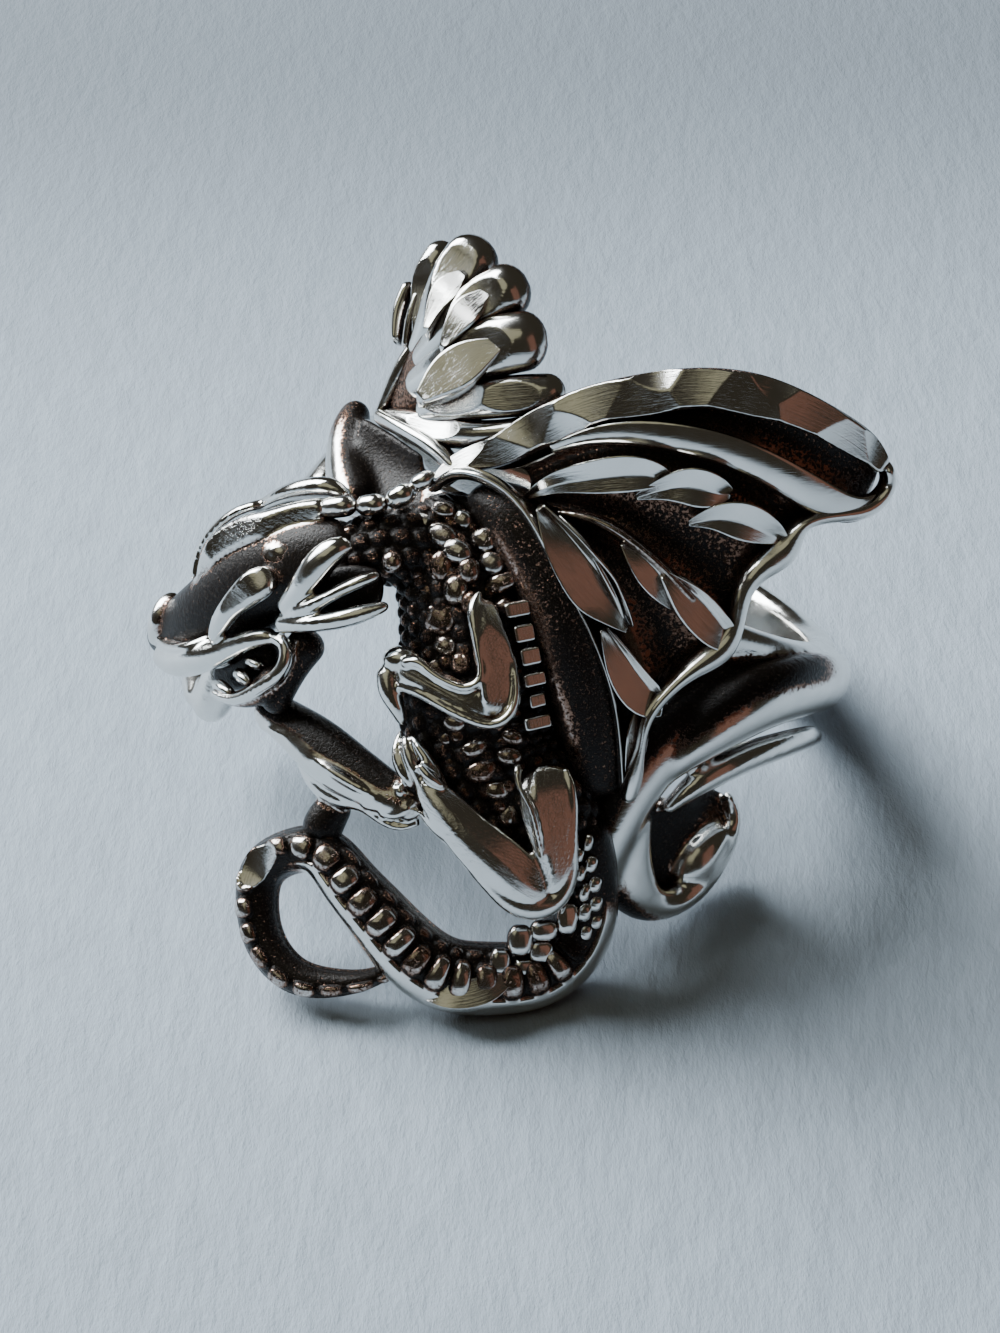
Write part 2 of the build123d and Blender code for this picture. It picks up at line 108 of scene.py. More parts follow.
def cubic(knots, table, at):
    """Smooth cubics through each column of a table at its knots, straight at both ends, read at stations."""
    table = np.asarray(table, float)
    gaps = np.diff(knots)
    slopes = np.diff(table, axis=0) / gaps[:, None]
    count = len(knots)
    system = np.eye(count)
    bends = np.zeros_like(table)
    inner = np.arange(1, count - 1)
    if count > 2:
        system[inner, inner - 1] = gaps[:-1]
        system[inner, inner] = 2 * (gaps[:-1] + gaps[1:])
        system[inner, inner + 1] = gaps[1:]
        bends[1:-1] = 6 * np.diff(slopes, axis=0)
        bends = np.linalg.solve(system, bends)
    leg = np.clip(np.searchsorted(knots, at) - 1, 0, count - 2)
    step, gap = (at - knots[leg])[:, None], gaps[leg][:, None]
    first = slopes[leg] - gap * (2 * bends[leg] + bends[leg + 1]) / 6
    bend = bends[leg] / 2 + step * (bends[leg + 1] - bends[leg]) / (6 * gap)
    return table[leg] + step * (first + step * bend)


def on_drawing(x, y, lift):
    """Where sight lines through points of the drawing meet a round that stands off the bore by lift.

    A sight line is the eye plus t times its direction, and t is the nearer root of the quadratic for the
    radius.
    """
    x, y, lift = np.broadcast_arrays(np.asarray(x, float), y, lift)
    sight = (
        RIGHT * ((x - DRAWING_CENTRE[0]) / DRAWING_FOCUS)[..., None]
        + UP * ((DRAWING_CENTRE[1] - y) / DRAWING_FOCUS)[..., None]
        - TOWARDS
    )
    radius = BORE["dims"]["r_mm"] + lift / UNITS
    a = (sight[..., :2] ** 2).sum(-1)
    b = (sight[..., :2] * VIEWPOINT[:2]).sum(-1)
    c = (VIEWPOINT[:2] ** 2).sum() - radius**2
    reach = (-b - np.sqrt(np.maximum(b * b - a * c, 0))) / a
    return VIEWPOINT + sight * reach[..., None]


def on_finger(turn, height, lift):
    """Places round the finger, by degrees from the face's middle and millimetres along the finger axis."""
    radius = BORE["dims"]["r_mm"] + np.asarray(lift, float) / UNITS
    angle = np.radians(turn)
    return np.stack([radius * np.sin(angle), -radius * np.cos(angle), np.asarray(height, float)], -1)


def smooth(low, high, value):
    """Nought below low, one above high and an S between: share squared times three less twice the share."""
    share = np.clip((value - low) / (high - low), 0, 1)
    return share * share * (3 - 2 * share)


def scattered(index):
    """A number between nought and one for each whole number, the broken part of a large sine."""
    value = np.sin(index * 12.9898) * 43758.5453
    return value - np.floor(value)


def unit(vectors):
    """Vectors of length one, each divided by its own length."""
    return vectors / np.maximum(np.linalg.norm(vectors, axis=-1, keepdims=True), 1e-9)


# Points and four-cornered faces, with each point's tarnish, which in places carries painted shade and
# painted reflection, and its run: its distances along and across the strand, and one where it lies on a
# cut flat
Shell = namedtuple("Shell", "points faces tarnish run")


def close_tube(rings, tarnish, run):
    """A closed shell from rings of points: quads between rings and a fan from each end ring to its middle."""
    along, around = rings.shape[:2]

    def with_ends(values):
        return np.concatenate([values.reshape(along * around, -1), values[:1].mean(1), values[-1:].mean(1)])

    index = np.arange(along * around).reshape(along, around)
    nxt = np.roll(index, -1, axis=1)
    quads = np.stack([index[:-1], nxt[:-1], nxt[1:], index[1:]], -1).reshape(-1, 4)
    start, end = along * around, along * around + 1
    head = np.stack([np.full(around, start), nxt[0], index[0], index[0]], -1)
    foot = np.stack([np.full(around, end), index[-1], nxt[-1], nxt[-1]], -1)
    faces = np.concatenate([quads, head, foot])
    points = with_ends(rings)
    return Shell(points, outward(points, faces), with_ends(tarnish[..., None])[:, 0], with_ends(run))


def outward(points, faces):
    """The faces, wound the other way where they enclose a negative volume: the sum of each face's cone."""
    a, b, c, d = (points[faces[:, corner]] for corner in range(4))
    volume = (a * np.cross(b, c)).sum() + (a * np.cross(c, d)).sum()
    return faces if volume > 0 else faces[:, ::-1]


# How far the head and limbs face the viewer, and the length of a cut that runs along a whole strand
FACE_ON = 0.9
WHOLE = 9000
# Steps in a strand's round end, and the fewest between its ends
CAP_STEPS = 7
FEWEST_STATIONS = 6


def stations(length, ends, pitch):
    """Distances along a strand: a pitch apart in the middle, and by a cosine over each round end."""
    bow = 1 - np.cos(np.linspace(0, math.pi / 2, CAP_STEPS)[1:-1])
    count = max(FEWEST_STATIONS, int((length - sum(ends)) / pitch))
    middle = np.linspace(ends[0], length - ends[1], count)
    return np.concatenate([ends[0] * bow, middle, (length - ends[1] * bow)[::-1]])


def oval(around, power):
    """X and Y on |X|^power + |Y|^power = 1: the cosine and sine of one turn, raised to 2 over power."""
    angle = np.linspace(0, 2 * math.pi, around, endpoint=False)
    x, y = np.cos(angle), np.sin(angle)
    return np.sign(x) * np.abs(x) ** (2 / power), np.sign(y) * np.abs(y) ** (2 / power)


def leaf(around, floor, shift, rim):
    """X and Y of an engraved leaf: two flats that meet in a valley, over a half circle.

    The flats fall in straight lines from depth 1 at X = -1 and from depth rim at X = 1 to the depth floor
    at X equal to shift.
    """
    top = np.linspace(1, -1, around // 2)
    under = np.linspace(math.pi, 2 * math.pi, around // 2)
    fall = np.interp(top, [-1, shift, 1], [1, floor, rim])
    return np.concatenate([top, np.cos(under)]), np.concatenate([fall, np.sin(under)])


def rounded_ends(at, length, ends):
    """Shares of the full section: the height of a quarter circle over each round end, and one between."""
    closing = np.ones(len(at))
    for end, gap in ((ends[0], at), (ends[1], length - at)):
        if end > 0:
            share = np.clip(1 - gap / end, 0, 1)
            closing *= np.sqrt(np.maximum(1 - share**2, 1e-4))
    return closing


def stroke(rows, facing=0.6, power=2.0, lean=0.0, cuts=(), relief=None, tarnish=0.0, around=40, pitch=2.4,
           mapping=on_drawing, cap=1.0, valley=None, roots=0.0):
    """A modelled strand: a profile carried along a smooth path, closed by round ends.

    Each row is x, y, lift, half width and half depth in drawing units, or what mapping takes in place of
    the first three. The profile is an oval of a power, or with a valley an engraved leaf, X across the
    strand and Y out from the finger, scaled by the half sizes. lean slides its crest sideways by a share of
    the half width. facing mixes the outward direction of the finger's round (0) with the direction to the
    viewer (1). around counts its sides, pitch is the distance between its rings, and cap lengthens its ends.

    Each cut is share along, depth left, slope and length: a graver's flat that planes Y down to the depth
    left, sloped across by slope, and rises as a shallow bow to nothing at half its length either way.
    relief(along, X, Y, share) gives a lift in units and a tarnish, which for some reliefs is painted shade
    and painted reflection, and flats keep neither. roots is the tarnish that creeps up the strand's sides
    from its foot.
    """
    rows = np.asarray(rows, float)
    spine = mapping(*rows[:, :3].T)
    knots = np.concatenate([[0], np.cumsum(np.linalg.norm(np.diff(spine, axis=0), axis=1))]) * UNITS
    length = knots[-1]
    ends = [cap * min(rows[end, 3], rows[end, 4], length / 3) for end in (0, -1)]
    at = stations(length, ends, pitch)
    values = cubic(knots, rows, at)
    centre = mapping(*values[:, :3].T)
    tangent = unit(np.gradient(centre, axis=0))
    out = (1 - facing) * unit(centre * [1, 1, 0]) + facing * TOWARDS
    out = unit(out - (out * tangent).sum(1, keepdims=True) * tangent)
    side = np.cross(tangent, out)
    at = at[:, None]
    closing = rounded_ends(at[:, 0], length, ends)[:, None]
    x, y = (line[None] + 0 * at for line in (leaf(around, *valley) if valley else oval(around, power)))
    x = x + lean * np.maximum(y, 0) * (1 - np.abs(x))
    half_width = values[:, 3:4] * closing
    half_depth = values[:, 4:5] * closing
    tone = np.full(x.shape, float(tarnish))
    flat = np.where(y > 0, 1.0, 0.0) if valley else np.zeros(x.shape)
    for where, left, slope, reach in cuts:
        plane = left + (1 - left) * ((at - where * length) / (reach / 2)) ** 2 + slope * x
        flat = np.where((y > plane) & (y > 0), 1.0, flat)
        y = np.where(y > 0, np.minimum(y, np.maximum(plane, 0)), y)
    across, rise = x * half_width, y * half_depth
    tone = np.maximum(tone, roots * smooth(0.62, 0.10, y * closing))
    if relief is not None:
        push, stain_and_shade = relief(at, x, y, at / length)
        normal = np.stack([x / np.maximum(half_width, 1e-3), y / np.maximum(half_depth, 1e-3)])
        normal = normal / np.maximum(np.linalg.norm(normal, axis=0), 1e-9)
        push = push * (1 - flat)
        across, rise = across + push * normal[0], rise + push * normal[1]
        tone = np.maximum(tone, stain_and_shade) if tarnish < 0.5 else stain_and_shade + 0 * tone
    rings = centre[:, None] + (side[:, None] * across[..., None] + out[:, None] * rise[..., None]) / UNITS
    return close_tube(rings, tone * (1 - flat), np.stack([at + 0 * x, across, flat], -1))


def slab(lines, thickness, along=160, across=150):
    """A closed plate: smooth cubics along each line of rows, then across the lines, and a back set behind it.

    Each line is its tarnish and its rows of x, y and lift. The tarnish goes straight from line to line, and
    wears off to a quarter of itself over the last stretch along.
    """
    share = np.linspace(0, 1, along)
    runs = []
    for _, rows in lines:
        rows = np.asarray(rows, float)
        runs.append(cubic(np.linspace(0, 1, len(rows)), rows, share))
    tone = np.interp(np.linspace(0, 1, across), np.linspace(0, 1, len(lines)), [line[0] for line in lines])
    tone = tone[:, None] * (1 - 0.75 * smooth(0.92, 1.0, share))
    runs = np.stack(runs)
    grid = cubic(np.linspace(0, 1, len(lines)), runs.reshape(len(lines), -1), np.linspace(0, 1, across))
    grid = grid.reshape(across, along, 3)
    front = on_drawing(grid[..., 0], grid[..., 1], grid[..., 2])
    back = on_drawing(grid[..., 0], grid[..., 1], grid[..., 2] - thickness)
    points = np.concatenate([front.reshape(-1, 3), back.reshape(-1, 3)])
    index = np.arange(across * along).reshape(across, along)
    top = np.stack([index[:-1, :-1], index[1:, :-1], index[1:, 1:], index[:-1, 1:]], -1).reshape(-1, 4)
    rim = np.concatenate([index[0, :-1], index[:-1, -1], index[-1, :0:-1], index[:0:-1, 0]])
    nxt = np.roll(rim, -1)
    offset = across * along
    wall = np.stack([rim, nxt, nxt + offset, rim + offset], -1)
    faces = np.concatenate([top, top[:, ::-1] + offset, wall])
    tone = np.tile(tone.reshape(-1), 2)
    return Shell(points, outward(points, faces), tone, np.zeros((len(points), 3)))


def joined(shells):
    """Several shells as one, their faces numbered on from each other."""
    starts = np.cumsum([0] + [len(shell.points) for shell in shells[:-1]])
    return Shell(
        np.concatenate([shell.points for shell in shells]),
        np.concatenate([shell.faces + start for shell, start in zip(shells, starts)]),
        np.concatenate([shell.tarnish for shell in shells]),
        np.concatenate([shell.run for shell in shells]),
    )


def mesh_of(name, points, faces):
    """A smooth-shaded mesh of four-cornered faces; a face that names a corner twice is a triangle."""
    twice = faces == np.roll(faces, -1, axis=1)
    sizes = 4 - twice.sum(1)
    mesh = bpy.data.meshes.new(name)
    mesh.vertices.add(len(points))
    mesh.vertices.foreach_set("co", np.asarray(points, np.float32).ravel())
    mesh.loops.add(int(sizes.sum()))
    mesh.loops.foreach_set("vertex_index", faces[~twice].astype(np.int32))
    mesh.polygons.add(len(sizes))
    mesh.polygons.foreach_set("loop_start", np.concatenate([[0], np.cumsum(sizes)[:-1]]).astype(np.int32))
    mesh.polygons.foreach_set("use_smooth", np.ones(len(sizes), bool))
    mesh.update(calc_edges=True)
    return mesh


def evened(places, edges, times, amount=0.5):
    """Points moved part of the way to the mean of their neighbours, several times over."""
    a, b = edges.T
    count = len(places)
    neighbours = np.bincount(edges.ravel(), minlength=count)[:, None]
    for _ in range(times):
        sums = [np.bincount(a, column[b], count) + np.bincount(b, column[a], count) for column in places.T]
        places = places + amount * (np.stack(sums, 1) / neighbours - places)
    return places


def spread(shell, places, step=0.09):
    """A shell's tarnish and run at other places: the mean over the block of 27 small cells round each."""
    values = np.concatenate([np.ones((len(shell.points), 1)), shell.tarnish[:, None], shell.run], 1)
    low = np.minimum(shell.points.min(0), places.min(0)) - 2 * step
    shape = ((np.maximum(shell.points.max(0), places.max(0)) - low) / step + 3).astype(int)
    cell = np.ravel_multi_index(((shell.points - low) / step).astype(int).T, shape)
    sums = np.stack([np.bincount(cell, column, shape.prod()) for column in values.T]).reshape(-1, *shape)
    for axis in (1, 2, 3):
        sums = sums + np.roll(sums, 1, axis) + np.roll(sums, -1, axis)
    found = sums[(slice(None), *((places - low) / step).astype(int).T)]
    return (found[1:] / np.maximum(found[0], 1)).T


def fused(shells, cell=0.064, rounding=4, reach=150, shallow=0.02, deep=0.13):
    """One cast skin over overlapping shells, blackened in its hollows.

    The shells are wrapped in cells of cell millimetres, and the cells' steps are evened out. A hollow is
    where the skin lies below a copy of itself that has been evened out reach times more: clean down to
    shallow millimetres and black from deep ones.
    """
    whole = joined(shells)
    wrapped = bpy.data.objects.new("wrapped", mesh_of("wrapped", whole.points, whole.faces))
    bpy.context.scene.collection.objects.link(wrapped)
    wrap = wrapped.modifiers.new("wrap", "REMESH")
    wrap.mode, wrap.voxel_size = "VOXEL", cell
    ready = wrapped.evaluated_get(bpy.context.evaluated_depsgraph_get())
    skin = ready.to_mesh()
    places, edges = np.empty(len(skin.vertices) * 3), np.empty(len(skin.edges) * 2, np.int32)
    faces = np.empty(len(skin.loops), np.int32)
    skin.vertices.foreach_get("co", places)
    skin.edges.foreach_get("vertices", edges)
    skin.loops.foreach_get("vertex_index", faces)
    ready.to_mesh_clear()
    bpy.data.objects.remove(wrapped)
    edges, faces = edges.reshape(-1, 2), faces.reshape(-1, 4)
    places = evened(places.reshape(-1, 3), edges, rounding)
    corners = places[faces]
    slope = np.cross(corners[:, 2] - corners[:, 0], corners[:, 3] - corners[:, 1])
    turns = [np.bincount(faces.ravel(), np.repeat(column, 4), len(places)) for column in slope.T]
    normals = unit(np.stack(turns, 1))
    below = ((evened(places, edges, reach) - places) * normals).sum(1)
    carried = spread(whole, places)
    tone = np.maximum(carried[:, 0], smooth(shallow, deep, below) * (1 - carried[:, 3]))
    return Shell(places, outward(places, faces), tone, carried[:, 1:])


def cast(name, shells):
    """One mesh from closed shells, each point keeping its tarnish and run, riding on the frame."""
    whole = joined(shells)
    mesh = mesh_of(name, to_frame(whole.points), whole.faces)
    for layer, kind, field, values in (
        ("tarnish", "FLOAT", "value", whole.tarnish),
        ("run", "FLOAT_VECTOR", "vector", whole.run),
    ):
        data = mesh.attributes.new(layer, kind, "POINT").data
        data.foreach_set(field, values.astype(np.float32).ravel())
    mesh.materials.append(silver_finish())
    piece = bpy.data.objects.new(name, mesh)
    bpy.context.scene.collection.objects.link(piece)
    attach(piece, "root")
    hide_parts("ring_casting")


# Band and shoulders

BAND_WALL = 1.2
BAND_WIDTH = 3.0
BAND_EDGE = 0.5

# turn, height along the finger in mm, lift, half width, half depth
SHOULDER_SWEEP = (
    (49, -9.0, 57, 19, 18), (46, -6.6, 59, 27, 24), (46, -4.4, 57, 31, 24), (52, -2.2, 48, 34, 22),
    (62, -0.8, 34, 36, 19), (76, -0.1, 22, 37, 16), (96, 0.0, 19, 31, 15),
)
SHOULDER_EDGE = (
    (52, -6.0, 67, 9, 15), (54, -4.7, 67, 12, 17), (60, -3.4, 57, 14, 17), (70, -2.3, 39, 15, 17),
    (84, -1.3, 23, 15, 16), (98, -0.6, 19, 13, 14),
)
SHOULDER_SCROLL = (
    (48, -8.4, 62, 17, 19), (55, -8.3, 67, 16, 19), (63, -7.6, 67, 16, 19), (69, -6.3, 65, 16, 19),
    (69, -4.8, 59, 15, 18), (64, -3.6, 54, 12, 17),
)
SCROLL_BULB = (
    (52, -7.0, 57, 13, 12), (57, -6.6, 62, 21, 19), (63, -5.8, 59, 19, 18), (66, -4.8, 54, 11, 10),
)
LEFT_REACH = 1.14
# From here on, a row is x, y, lift, half width and half depth in the drawing's units, where nothing else is
# said. These are the left side of the band as drawn, and a black sheet of painted shade standing in the
# shadowed gap beside it.
LEFT_BAND = (
    (360, 404, 44, 12, 12), (352, 424, 48, 18, 17), (347, 452, 51, 21, 19), (350, 482, 55, 22, 20),
    (360, 510, 58, 18, 18),
)
GAP_SHADOW_SHEET = (
    (1.0, ((362, 416, 58), (390, 432, 44), (424, 456, 36))),
    (1.0, ((356, 452, 56), (388, 464, 38), (424, 480, 32))),
    (1.0, ((352, 496, 60), (388, 504, 42), (424, 512, 40))),
)
SCROLL_HOLLOW = (
    (630, 806, 34, 18, 8), (650, 828, 37, 40, 10), (678, 842, 38, 56, 12), (706, 834, 38, 50, 12),
    (728, 824, 36, 26, 8),
)
# A lump: x, y, lift, half width, half height, half depth
SCROLL_KNOB = (704, 822, 42, 17, 13, 9)
# The right shoulder's face as drawn: its main strand, small strand, crescent and bulb
DRAWN_SHOULDER = (
    (
        (640, 796, 48, 11, 14), (662, 768, 56, 17, 18), (700, 736, 62, 25, 22), (745, 706, 60, 31, 24),
        (795, 688, 50, 32, 22), (836, 682, 36, 30, 18),
    ),
    (
        (662, 812, 54, 5, 9), (692, 787, 60, 12, 13), (733, 763, 62, 15, 14), (778, 746, 56, 14, 13),
        (814, 735, 46, 10, 11),
    ),
    (
        (646, 800, 48, 14, 14), (629, 824, 52, 24, 19), (623, 858, 55, 28, 21), (634, 890, 58, 25, 21),
        (656, 903, 60, 17, 20), (680, 896, 62, 14, 19), (700, 878, 62, 14, 18), (717, 856, 60, 12, 16),
        (729, 832, 57, 9, 14), (732, 810, 52, 7, 11), (726, 792, 47, 4, 7),
    ),
    ((678, 888, 50, 12, 12), (692, 868, 58, 20, 18), (707, 848, 58, 19, 17), (722, 826, 54, 8, 12)),
)


def left_hand(rows):
    """The same strand on the left: turns negated, heights let down by the left shoulder's reach."""
    return [(-turn, height * LEFT_REACH, *rest) for turn, height, *rest in rows]


def painted_wing_shade(along, x, y, share):
    """No lift, and painted shade on the strand's upper side, where the wing stands over it: a dark tone for
    the wing's shade and its dark reflection.
    """
    return 0 * x, smooth(-0.14, -0.62, x) * (1 - 0.95 * smooth(0.55, 0.80, share))


def darkened_root(along, x, y, share):
    """No lift, and a tarnish on the side by the body, along the first half of the strand."""
    return 0 * x, smooth(0.05, 0.75, x) * smooth(0.5, 0.38, share)


def painted_end_shade(along, x, y, share):
    """No lift, and painted shade and painted dark reflection on the strand's inner side and over its first
    end.
    """
    return 0 * x, np.maximum(smooth(0.0, -0.5, x), 0.62 * smooth(0.55, 0.1, share))


def painted_face_reflection(along, x, y, share):
    """No lift, and a painted dark reflection over all but the strand's lower edge, where the face turned to
    the viewer mirrors the dark room.
    """
    return 0 * x, 0.90 * smooth(0.55, 0.2, x)


def band_shell():
    """The finger band: a rounded rectangle carried round the finger, each corner a quarter circle."""
    corner = np.linspace(0, math.pi / 2, 9)
    half_wall, half_width = BAND_WALL / 2 - BAND_EDGE, BAND_WIDTH / 2 - BAND_EDGE
    profile = []
    for quarter, (side, end) in enumerate(((1, 1), (-1, 1), (-1, -1), (1, -1))):
        angle = corner + quarter * math.pi / 2
        wall = side * half_wall + BAND_EDGE * np.cos(angle)
        width = end * half_width + BAND_EDGE * np.sin(angle)
        profile.append(np.stack([wall, width], -1))
    profile = np.concatenate(profile)
    turn = np.linspace(0, 2 * math.pi, 300, endpoint=False)[:, None]
    radius = BORE["dims"]["r_mm"] + BAND_WALL / 2 + profile[:, 0]
    turn, radius, height = np.broadcast_arrays(turn, radius, profile[:, 1])
    grid = np.stack([radius * np.sin(turn), -radius * np.cos(turn), height], -1)
    index = np.arange(grid.shape[0] * grid.shape[1]).reshape(grid.shape[:2])
    ahead = np.roll(index, -1, 0)
    faces = np.stack([index, np.roll(index, -1, 1), np.roll(ahead, -1, 1), ahead], -1).reshape(-1, 4)
    points = grid.reshape(-1, 3)
    return Shell(points, outward(points, faces), np.zeros(len(points)), np.zeros((len(points), 3)))


# Body

TORSO = (
    (425, 505, 62, 34, 34), (448, 545, 64, 54, 38), (460, 600, 66, 56, 40), (466, 660, 66, 61, 40),
    (474, 715, 66, 67, 40), (492, 765, 66, 64, 40), (532, 812, 66, 60, 38), (568, 865, 68, 40, 34),
    (592, 900, 70, 26, 26),
)
NECK = (
    (318, 566, 126, 26, 24), (350, 556, 116, 30, 28), (390, 548, 100, 34, 30), (430, 550, 80, 38, 30),
    (462, 560, 62, 34, 26),
)
FLANK_ROLL = (
    (470, 500, 70, 14, 16), (508, 515, 74, 30, 25), (540, 560, 74, 34, 26), (563, 620, 74, 34, 26),
    (580, 680, 72, 34, 26), (592, 740, 70, 31, 25), (602, 795, 68, 20, 20),
)
FLANK_RIDGE = (
    (432, 490, 84, 5, 9), (455, 474, 94, 6, 10), (482, 477, 98, 6, 11), (508, 492, 98, 6, 11),
    (530, 518, 99, 5, 11), (547, 548, 99, 5, 11), (563, 580, 98, 4, 11), (585, 622, 97, 3, 11),
    (602, 662, 96, 3, 11), (613, 700, 94, 3, 11), (619, 745, 92, 3, 10), (622, 790, 88, 4, 9),
)
SIDE_BEADS = (
    (517, 609, 11, 7), (524, 633, 9, 8), (530, 656, 9, 8), (534, 679, 10, 6), (537, 700, 7, 6),
    (537, 722, 12, 6),
)
NECK_KNUCKLES = (
    (338, 507, 138, 17, 10), (372, 505, 128, 14, 10), (401, 496, 120, 15, 10), (423, 481, 112, 13, 8),
)
# x, y, half width, half height
PEBBLES = (
    (396, 538, 8, 9), (414, 547, 13, 11), (425, 523, 10, 7), (442, 535, 13, 9), (463, 520, 9, 8),
    (457, 551, 13, 9), (484, 541, 11, 10), (441, 566, 10, 12), (469, 571, 9, 10), (492, 563, 11, 9),
    (456, 590, 10, 11), (500, 583, 15, 8), (428, 594, 8, 10), (440, 618, 14, 13), (413, 577, 6, 9),
    (446, 646, 10, 8), (421, 648, 9, 8), (461, 664, 9, 9), (436, 668, 10, 8), (445, 738, 8, 7),
    (425, 722, 8, 8), (455, 722, 10, 8), (474, 748, 12, 7), (512, 737, 10, 6), (509, 756, 11, 7),
    (481, 771, 14, 9), (450, 762, 9, 8), (497, 790, 12, 8), (508, 815, 9, 10), (504, 522, 9, 8),
    (482, 516, 9, 7), (444, 510, 10, 7), (381, 522, 8, 7), (403, 514, 9, 6), (372, 546, 9, 9),
    (393, 562, 8, 8), (366, 527, 8, 6), (472, 603, 9, 9), (504, 606, 8, 6),
)
HIP_SCALES = (
    (587, 842, 4, 8), (578, 854, 4, 7), (590, 863, 5, 8), (580, 872, 4, 8), (594, 883, 5, 8),
    (584, 891, 4, 9), (595, 902, 5, 8), (584, 911, 5, 9), (595, 920, 5, 8), (585, 931, 5, 9),
)
# How far the side beads, and the scales on hip and tail, stand off, and the flat cut on each side bead
SIDE_BEAD_LIFT = 95
HIP_LIFT = 100
SIDE_BEAD_CUTS = ((0.5, 0.60, 0.34, WHOLE),)
# Left of these on the drawing, a pebble may lie on the neck and a knuckle lies nearly level
NECK_SIDE = 400
NECK_BEND = 390


def skin_lift(x, y, rows):
    """The lift of a strand's skin at a point of the drawing, from the oval of its section at that height."""
    columns = np.asarray(rows, float).T
    centre, lift, half_width, half_depth = (np.interp(y, columns[1], columns[kind]) for kind in (0, 2, 3, 4))
    share = np.clip((x - centre) / half_width, -0.93, 0.93)
    return lift + half_depth * np.sqrt(1 - share**2)


def pebbled(around):
    """A relief of close-set pebbles in a ring of rows round the strand, so many to the radian.

    A pebble is a dome, the root of one less a power of the distance from its middle. Every other row is
    shifted by half a pebble, and no two are quite the same size or equally worn.
    """

    def relief(along, x, y, share):
        row = np.arctan2(y, x) * around
        step = along / 16 + 0.5 * (np.floor(row) % 2)
        odd = scattered(np.floor(step) + 7 * np.floor(row))
        distance = sum(np.abs((spot - np.floor(spot)) * 2 - 1) ** 2.4 for spot in (step, row))
        dome = np.sqrt(np.clip(1 - distance * (1.15 + 0.5 * odd), 0, 1))
        return 4.5 * dome - 2, 0.93 - 0.52 * smooth(0.5, 0.95, dome) * (0.3 + 0.7 * odd)

    return relief


def roll_with_painted_reflection(along, x, y, share):
    """A black roll with a lighter ragged line on its near shoulder by a bell curve across it: the black is
    oxide, the line a painted copper reflection.
    """
    line = np.exp(-(((x - 0.62 + 0.06 * np.sin(along / 17)) / 0.20) ** 2)) * smooth(0.05, 0.3, y)
    return 0 * x, 0.80 - 0.36 * line * smooth(0.08, 0.2, share) * (1 - smooth(0.84, 0.92, share))


def bead(x, y, lift, half_width, half_height, half_depth=8, tip=0.0, round_off=0.8, power=2.6, **finish):
    """One rounded lump: a short strand, tipped in radians, whose ends are round for the share round_off."""
    dx, dy = math.cos(tip) * half_width, math.sin(tip) * half_width
    rows = [(x + end * dx, y + end * dy, lift, half_height, half_depth) for end in (-1, -0.3, 0.3, 1)]
    cap = round_off * half_width / min(half_height, half_depth, half_width * 2 / 3)
    return stroke(rows, power=power, around=24, pitch=2.0, cap=cap, **finish)


# Head

SKULL = (
    (366, 545, 118, 22, 22), (330, 554, 128, 34, 28), (286, 570, 136, 44, 30), (242, 594, 140, 42, 28),
    (208, 614, 142, 35, 25), (180, 628, 142, 27, 20), (158, 638, 138, 16, 14),
)
NEAR_CREST = (
    (201, 590, 160, 5, 7), (207, 568, 166, 9, 11), (219, 549, 168, 13, 14), (240, 535, 166, 15, 15),
    (264, 526, 162, 14, 15), (290, 517, 154, 12, 13), (312, 511, 146, 11, 12), (328, 507, 142, 8, 9),
)
CREST_CUTS = ((0.42, 0.66, 0.25, 90), (0.78, 0.7, -0.2, 70), (0.12, 0.6, 0.3, 40))
FAR_CREST = (
    (196, 582, 148, 6, 12), (203, 552, 152, 7, 15), (217, 531, 152, 7, 16), (238, 514, 148, 7, 15),
    (264, 505, 140, 6, 12),
)
REAR_CREST = (
    (262, 507, 132, 6, 12), (288, 494, 134, 9, 14), (312, 488, 132, 10, 14), (334, 489, 126, 9, 12),
    (350, 498, 118, 5, 8),
)
BROW = (
    (277, 577, 164, 11, 10), (262, 582, 172, 15, 13), (244, 595, 174, 14, 13), (229, 610, 172, 11, 12),
    (219, 626, 168, 9, 10), (213, 639, 162, 5, 6),
)
BROW_CUTS = ((0.3, 0.72, -0.2, 60),)
EYE_BEAD = (277, 552, 160, 8, 7)
CHEEK_SPIKES = (
    (
        (284, 612, 154, 12, 9), (300, 590, 164, 12, 12), (316, 568, 168, 14, 13),
        (331, 553, 166, 13, 13), (345, 547, 160, 9, 10), (353, 548, 154, 4, 6),
    ),
    (
        (286, 618, 154, 12, 8), (311, 606, 161, 8, 9), (338, 592, 162, 6, 9), (362, 581, 158, 6, 8),
        (380, 575, 150, 4, 6),
    ),
    (
        (278, 622, 152, 11, 8), (302, 624, 158, 8, 8), (335, 620, 157, 9, 9), (366, 612, 151, 8, 8),
        (389, 605, 144, 4, 6),
    ),
)
CHEEK_PLATE = (
    (292, 613, 142, 17, 9), (322, 598, 143, 22, 10), (358, 590, 138, 23, 10), (384, 590, 131, 17, 9),
)
UPPER_LIP = (
    (163, 655, 144, 11, 13), (180, 661, 148, 15, 15), (204, 657, 150, 14, 14), (232, 647, 150, 11, 12),
    (258, 638, 148, 9, 11), (276, 636, 144, 8, 9),
)
LIP_LINE = (
    (160, 640, 150, 5, 7), (176, 649, 157, 6, 8), (196, 645, 158, 6, 8), (212, 637, 154, 4, 5),
)
LOWER_LIP = (
    (272, 637, 144, 7, 8), (286, 648, 146, 7, 9), (283, 667, 146, 7, 9), (267, 683, 145, 7, 9),
    (249, 694, 143, 6, 8), (230, 699, 141, 5, 7), (213, 692, 138, 4, 6),
)
